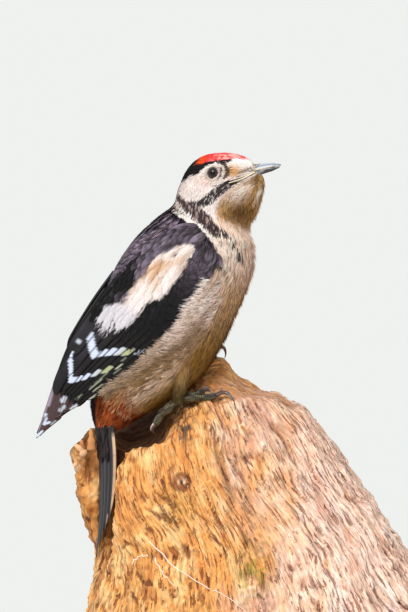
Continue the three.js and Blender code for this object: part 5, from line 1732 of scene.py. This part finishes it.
def stump():
    """The perch's own form at an even fineness, rounded, carved with the relief and coloured by place."""
    base = bpy.data.objects["perch"]
    copy = bpy.data.objects.new("stump_form", base.data.copy())
    bpy.context.scene.collection.objects.link(copy)
    remesh = copy.modifiers.new("even", "REMESH")
    remesh.mode = "VOXEL"
    remesh.voxel_size = VOXEL_MM * MM
    remesh.adaptivity = 0.0
    rounded = copy.modifiers.new("round", "SMOOTH")
    rounded.factor = 0.5
    rounded.iterations = 26
    ready = copy.evaluated_get(bpy.context.evaluated_depsgraph_get()).to_mesh()
    points = np.empty(len(ready.vertices) * 3, np.float32)
    ready.vertices.foreach_get("co", points)
    normals = np.empty_like(points)
    ready.vertices.foreach_get("normal", normals)
    quads = np.empty(len(ready.loops), np.int32)
    ready.loops.foreach_get("vertex_index", quads)
    quads = quads.reshape(-1, 4)
    points, normals = points.reshape(-1, 3) / MM, normals.reshape(-1, 3).astype(float)
    bpy.data.objects.remove(copy, do_unlink=True)
    height, split, groove, knot, top, rot = wood_relief(points, normals)
    foot = smooth((points[:, 2] - 36.5) / 3)
    made_at = points + normals * (height * foot)[:, None]
    a, z = grain(points)
    x, y = points[:, 0], points[:, 1]
    tone = noise(points / [16, 16, 22], 111) + 0.6 * noise(points / [5, 5, 9], 110)
    streak = field(a / 1.7, z / 13, 112) * 0.6 + field(a / 0.85, z / 6, 113) * 0.5
    speck = noise(points / 1.3, 109)
    paler_rightwards = smooth((x + 25) / 65 + tone * 0.4)
    colour = mix(linear("#e59a50"), linear("#fbd3ba"), paler_rightwards[:, None])
    pale = mix(linear("#fbcf90"), linear("#ffe9dc"), paler_rightwards[:, None])
    colour = mix(colour, pale, (smooth(streak * 1.2 + speck * 0.6 - 0.05) * 0.6)[:, None])
    colour = paint(
        colour,
        ("#c87434", smooth(-streak * 1.2 - speck * 0.6 - 0.2) * 0.5),
        ("#bf6a36", smooth(tone * 1.5 - 0.5) * 0.4),
        ("#eeb468", rot * 0.3 * (1 - paler_rightwards)),
    )
    # paler on the crests of the relief: painted highlight; darker in its hollows: painted shade; the splits
    # dark partly as painted shade in them, partly as the darker wood inside
    crest = np.clip(height / 1.6, -1, 1)
    colour = mix(colour, pale, (smooth(crest * 1.4 - 0.3) * 0.6)[:, None])
    colour = paint(
        colour,
        ("#9c5629", smooth(-crest * 1.3 - 0.2) * 0.55),
        ("#64331a", split * 0.8),
        ("#7d5a3a", groove * 0.5),
        ("#b06c2c", smooth((-x - 76) / 8) * smooth((z - 60) / 10) * smooth(-tone * 1.5 + 0.5) * 0.6),
    )
    stain = smooth(noise(points[:, [0, 2]] / 1.4, 114) * 2 + 0.6)
    near = y < 4
    colour = paint(
        colour,
        ("#463c33", bell((x + 37.5) / 5, 1) * bell((z - 132) / 7, 1) * stain * near * 0.92),
        ("#98862c", bell((x + 4) / 9, 1) * bell((z - 60) / 13, 1) * stain * near * 0.8),
        ("#a08a3c", bell((x + 40) / 8, 1) * bell((z - 94) / 12, 1) * stain * near * 0.4),
        ("#6d4c33", bell(x + 17 - (122 - z) * 0.35, 2.4) * bell((z - 92) / 22, 1) * stain * near * 0.6),
    )
    around = np.hypot(x - KNOT[0], (z - KNOT[1]) * 1.1)
    colour = paint(
        colour,
        ("#8a4c2c", smooth((6.4 - around) / 2.6) * near * 0.75),
        ("#f6d2b0",
         knot * bell(around - 1.5, 0.6) * smooth(noise(np.stack([x, z], -1) / 0.9, 102) * 2 + 0.6)),
        ("#35190e", bell(around, 0.7) * near * 0.8),
    )
    # darker round the recess the tail hangs in: painted shade
    inside = smooth((7 - np.hypot(x + 83, y + 15)) / 8 + 0.6) * smooth((150 - z) / 12)
    colour = paint(colour, ("#8a4f2c", inside * 0.5))
    # dark in the hollow between tail and belly: painted shade, over darker rotted wood
    hollow_rot_and_shade = smooth(1.5 - np.hypot((x + 61) / 17, (y - 2) / 17)) * smooth((158 - z) / 10) * smooth(top * 3
        + (y > -17) * 1.0)
    colour = paint(colour, ("#4a2a1a", hollow_rot_and_shade * 0.9))
    made = mesh_of("stump", made_at, quads)
    colour_points(made, colour)
    vector_points(made, "grain", np.stack([a, z, y * 0.3], -1))
    return finish_piece(made, old_wood, "weathered_wood", "perch")


def on_face(x, z, tree):
    """The near surface of the stump at a place in the front view, in mm."""
    hit = tree.ray_cast(Vector((x * MM, -0.3, z * MM)), Vector((0, 1, 0)))[0]
    return np.array(hit) / MM if hit else None


def rootlets(tree):
    """White roots that cling to the face of the stump."""
    lines = [
        [(-56, 77), (-43.5, 64), (-29.5, 55), (-16, 48.5), (-5, 39.5)],
        [(-65, 65), (-61, 68.5), (-56.5, 69.5)],
        [(-53.5, 67.5), (-49, 60), (-43.5, 53.5)],
    ]
    roots = []
    for k, line in enumerate(lines):
        t = np.linspace(0, 1, 80)
        flat = through(line, t) + 0.7 * np.stack([field(t * 14, k, 121), field(t * 14, k, 122)], -1)
        path = np.array([on_face(x, z, tree) for x, z in flat])
        kernel = np.ones(7) / 7
        path[3:-3, 1] = np.convolve(path[:, 1], kernel, "valid") - 0.15
        size = 0.36 * mix(1.0, 0.45, t)[:, None]
        points, _ = tube(path, size, size, (0, -1, 0), 8)
        roots.append((points, len(t), 8, np.ones((len(points), 1)) * linear("#f3e2d2")))
    return finish_piece(joined("rootlets", roots), root_bark, "weathered_wood")


def splinters(tree):
    """Slivers that stand off the torn rim and the knot, each a thin pointed shard."""
    rng = np.random.default_rng(131)
    shards = [
        # root, tip and half width in mm
        ((-86.0, -8, 122), (-86.2, -9, 133), 2.6), ((-89.5, -6, 119), (-94.6, -8, 124.5), 2.3),
        ((-90.0, -5, 120), (-91, -7, 127), 1.8), ((-92.0, -5, 112), (-94.8, -8, 115), 2.4),
        ((-8.0, -27, 131), (-3.5, -30, 137), 1.0), ((-9.5, -26, 134), (-6.5, -29.5, 130), 0.8),
    ]
    for _ in range(46):
        x, z = rng.uniform(-70, 60), rng.uniform(45, 138)
        spot = on_face(x, z, tree)
        if spot is None or spot[1] > -12:
            continue
        down = np.array([mix(0.15, 0.5, (x + 70) / 130), 0, -0.85])
        reach = rng.uniform(2.5, 7)
        shards.append((spot + [0, 0.9, 0], spot + down * reach + [0, -rng.uniform(0.3, 1.3), 0],
                       rng.uniform(0.35, 0.8)))
    slivers = []
    for root, tip, half in shards:
        rows, sides = 12, 7
        t = np.linspace(0, 1, rows)
        root, tip = np.array(root, float), np.array(tip, float)
        bend = rng.normal(0, 0.05, 3) * np.linalg.norm(tip - root)
        path = root + (tip - root) * t[:, None] + bend * np.sin(np.pi * t)[:, None]
        size = (half * (1.02 - t) ** (0.4 if half > 1.5 else 0.7))[:, None] * rng.uniform(0.8, 1.2,
                                                                                          (1, sides))
        size = size * rng.uniform(0.7, 1.2, (rows, 1)) if half > 1.5 else size
        points, _ = tube(path, size, size * 0.6, (0.1, -1, 0.1), sides)
        tone = mix(linear("#c9803e"), linear("#f2c090" if half > 1.5 else "#f8d8b8"), rng.uniform(0, 1))
        colour = tone * mix(0.8, 1.05, np.append(np.repeat(t, sides), [0, 1]))[:, None]
        slivers.append((points, rows, sides, colour))
    return finish_piece(joined("splinters", slivers), root_bark, "weathered_wood")


def wood_look():
    """Threads of wood fibre under half a millimetre across, with short cracks that open between them."""
    look, tree, shader = material("weathered_wood", 0.88)
    pigment = node(tree, "Attribute", attribute_name="pigment")
    run = node(tree, "Attribute", attribute_name="grain")

    def spots(across, along, low, high, detail):
        spread = node(tree, "Mapping", {"Vector": run.outputs["Vector"]},
                      in_Scale=(1 / across, 1 / along, 1 / across))
        threads = node(tree, "TexNoise", {"Vector": spread}, in_Scale=1.0,
                       in_Detail=detail, in_Roughness=0.6)
        return threads, node(tree, "MapRange", {"Value": threads}, in_From_Min=low,
                             in_From_Max=high)

    fibre, light = spots(0.8, 8, 0.33, 0.67, 5.0)
    light.inputs["To Min"].default_value, light.inputs["To Max"].default_value = 0.6, 1.42
    _, crack = spots(1.15, 13, 0.55, 0.61, 3.0)
    _, where = spots(9, 22, 0.4, 0.55, 2.0)
    _, check = spots(1.3, 5, 0.64, 0.7, 3.0)
    long_crack = node(tree, "Math", {0: crack, 1: where},
                      operation="MULTIPLY")
    open_wood = node(tree, "Math", {0: long_crack, 1: check},
                     operation="MAXIMUM")
    # the cracks darken the colour: painted shade in them, over the darker wood inside
    depth = node(tree, "VectorMath", {0: open_wood}, operation="MULTIPLY_ADD")
    depth.inputs[1].default_value, depth.inputs[2].default_value = (-0.5, -0.68, -0.72), (1, 1, 1)
    tinted = product(tree, pigment.outputs["Color"], light.outputs[0])
    level = node(tree, "Math", {0: fibre, 1: open_wood},
                 operation="SUBTRACT")
    surface(tree, shader, product(tree, tinted, depth.outputs[0]), fibre.outputs[0], 0.75, 0.95,
            level.outputs[0], 1.0, 1.1)
    return look


# Dry pale wood: chalky, with no shine left, dark only where it splits, as painted shade on darker wood.
old_wood = wood_look()
# Thin living bark: smoother and paler than the wood it crosses.
root_bark = pigment_look("rootlet", 0.7, 0.6, 0.12, 0.05)
wood = stump()
tree = BVHTree.FromObject(wood, bpy.context.evaluated_depsgraph_get())
rootlets(tree)
splinters(tree)


# ---------------------------------------------------------------- stand
# A plain museum mount: two brushed steel rods let into the sawn foot of the stump, standing in a dark
# bevelled hardwood base.
def wood_grain_look(name, dark, light, roughness):
    """Oiled dark hardwood: long rings under a low satin finish, open in the pores."""
    look, tree, shader = material(name, roughness, Specular_IOR_Level=0.25)
    place = node(tree, "TexCoord")
    long = node(tree, "Mapping", {"Vector": place.outputs["Object"]}, in_Scale=(1, 9, 9))
    rings = node(tree, "TexNoise", {"Vector": long}, in_Scale=28, in_Detail=6.0,
                 in_Distortion=0.6)
    ramp = node(tree, "ValToRGB", {"Fac": rings})
    ramp.color_ramp.elements[0].position, ramp.color_ramp.elements[1].position = 0.35, 0.65
    ramp.color_ramp.elements[0].color = (*linear(dark), 1)
    ramp.color_ramp.elements[1].color = (*linear(light), 1)
    surface(tree, shader, ramp.outputs[0], rings.outputs[0], roughness - 0.08, roughness + 0.1,
            rings.outputs[0], 0.3, 0.1)
    return look


def brushed_look(name, colour, roughness):
    """Brushed bare steel: fine turned scratches that draw the light out along the rod."""
    look, tree, shader = material(name, roughness, Metallic=1.0)
    place = node(tree, "TexCoord")
    rings = node(tree, "Mapping", {"Vector": place.outputs["Object"]}, in_Scale=(0.2, 0.2, 6))
    brush = node(tree, "TexNoise", {"Vector": rings}, in_Scale=600, in_Detail=2.0)
    ramp = node(tree, "ValToRGB", {"Fac": brush})
    ramp.color_ramp.elements[0].color = (*(linear(colour) * 0.8), 1)
    ramp.color_ramp.elements[1].color = (*linear(colour), 1)
    surface(tree, shader, ramp.outputs[0], brush.outputs[0], roughness - 0.08, roughness + 0.1,
            brush.outputs[0], 0.2, 0.02)
    return look


def relook(name, look):
    for slot in bpy.data.objects[name].material_slots:
        slot.material = look


relook("stand_base", wood_grain_look("dark_hardwood", "#2c1d15", "#4a3323", 0.42))
steel = brushed_look("brushed_steel", "#b9bcc0", 0.34)
relook("stand_rod_left", steel)
relook("stand_rod_right", steel)


# ---------------------------------------------------------------- studio
# A plain pale floor and backdrop, soft light from all round and a broad lamp above the left shoulder.
def plain_stage(name, size, at, turn=(0, 0, 0)):
    bpy.ops.mesh.primitive_plane_add(size=size, location=at, rotation=turn)
    made = bpy.context.object
    made.name = name
    return made


floor = plain_stage("floor", 1.7, (0, 0, 0))
paper, tree, shader = material("studio_paper", 0.9)
shader.inputs["Base Color"].default_value = (0.8, 0.8, 0.8, 1)
floor.data.materials.append(paper)

world = bpy.data.worlds.new("studio")
bpy.context.scene.world = world
world.use_nodes = True
tree = world.node_tree
sky = tree.nodes["Background"]
sky.inputs["Color"].default_value = (1, 1, 1, 1)
sky.inputs["Strength"].default_value = 0.66
seen = node(tree, "Background")
seen.inputs["Color"].default_value = (0.86, 0.88, 0.86, 1)
seen.inputs["Strength"].default_value = 1.0
path = node(tree, "LightPath")
shown = node(tree, "Math", {0: path.outputs["Is Camera Ray"], 1: path.outputs["Is Glossy Ray"]},
             operation="MAXIMUM")
shown = node(tree, "Math", {0: shown, 1: path.outputs["Is Transmission Ray"]},
             operation="MAXIMUM")
either = node(tree, "MixShader", {0: shown, 1: sky, 2: seen})
tree.links.new(either.outputs[0], tree.nodes["World Output"].inputs["Surface"])


def lamp(name, at, size, power):
    data = bpy.data.lights.new(name, "AREA")
    data.size = size
    data.energy = power
    made = bpy.data.objects.new(name, data)
    made.location = at
    made.rotation_euler = (Vector((0, 0, 0.16)) - Vector(at)).to_track_quat("-Z", "Y").to_euler()
    bpy.context.scene.collection.objects.link(made)


lamp("key", (-0.7, -1.1, 1.3), 0.6, 22)
lamp("fill", (1.2, -1.0, 0.5), 1.0, 3)

FRAME_TALL_MM = 312.1
DISTANCE_MM = 4000
AIM_MM = (-28.6, 195.1)  # to the right and up
camera = bpy.data.cameras.new("camera")
camera.sensor_width = 36
camera.lens = 36 * DISTANCE_MM / FRAME_TALL_MM
camera.clip_end = 20
view = bpy.data.objects.new("camera", camera)
view.location = (AIM_MM[0] * MM, -DISTANCE_MM * MM, AIM_MM[1] * MM)
view.rotation_euler = (math.pi / 2, 0, 0)
bpy.context.scene.collection.objects.link(view)
bpy.context.scene.camera = view
bpy.context.scene.view_settings.view_transform = "Standard"

bpy.context.view_layer.update()
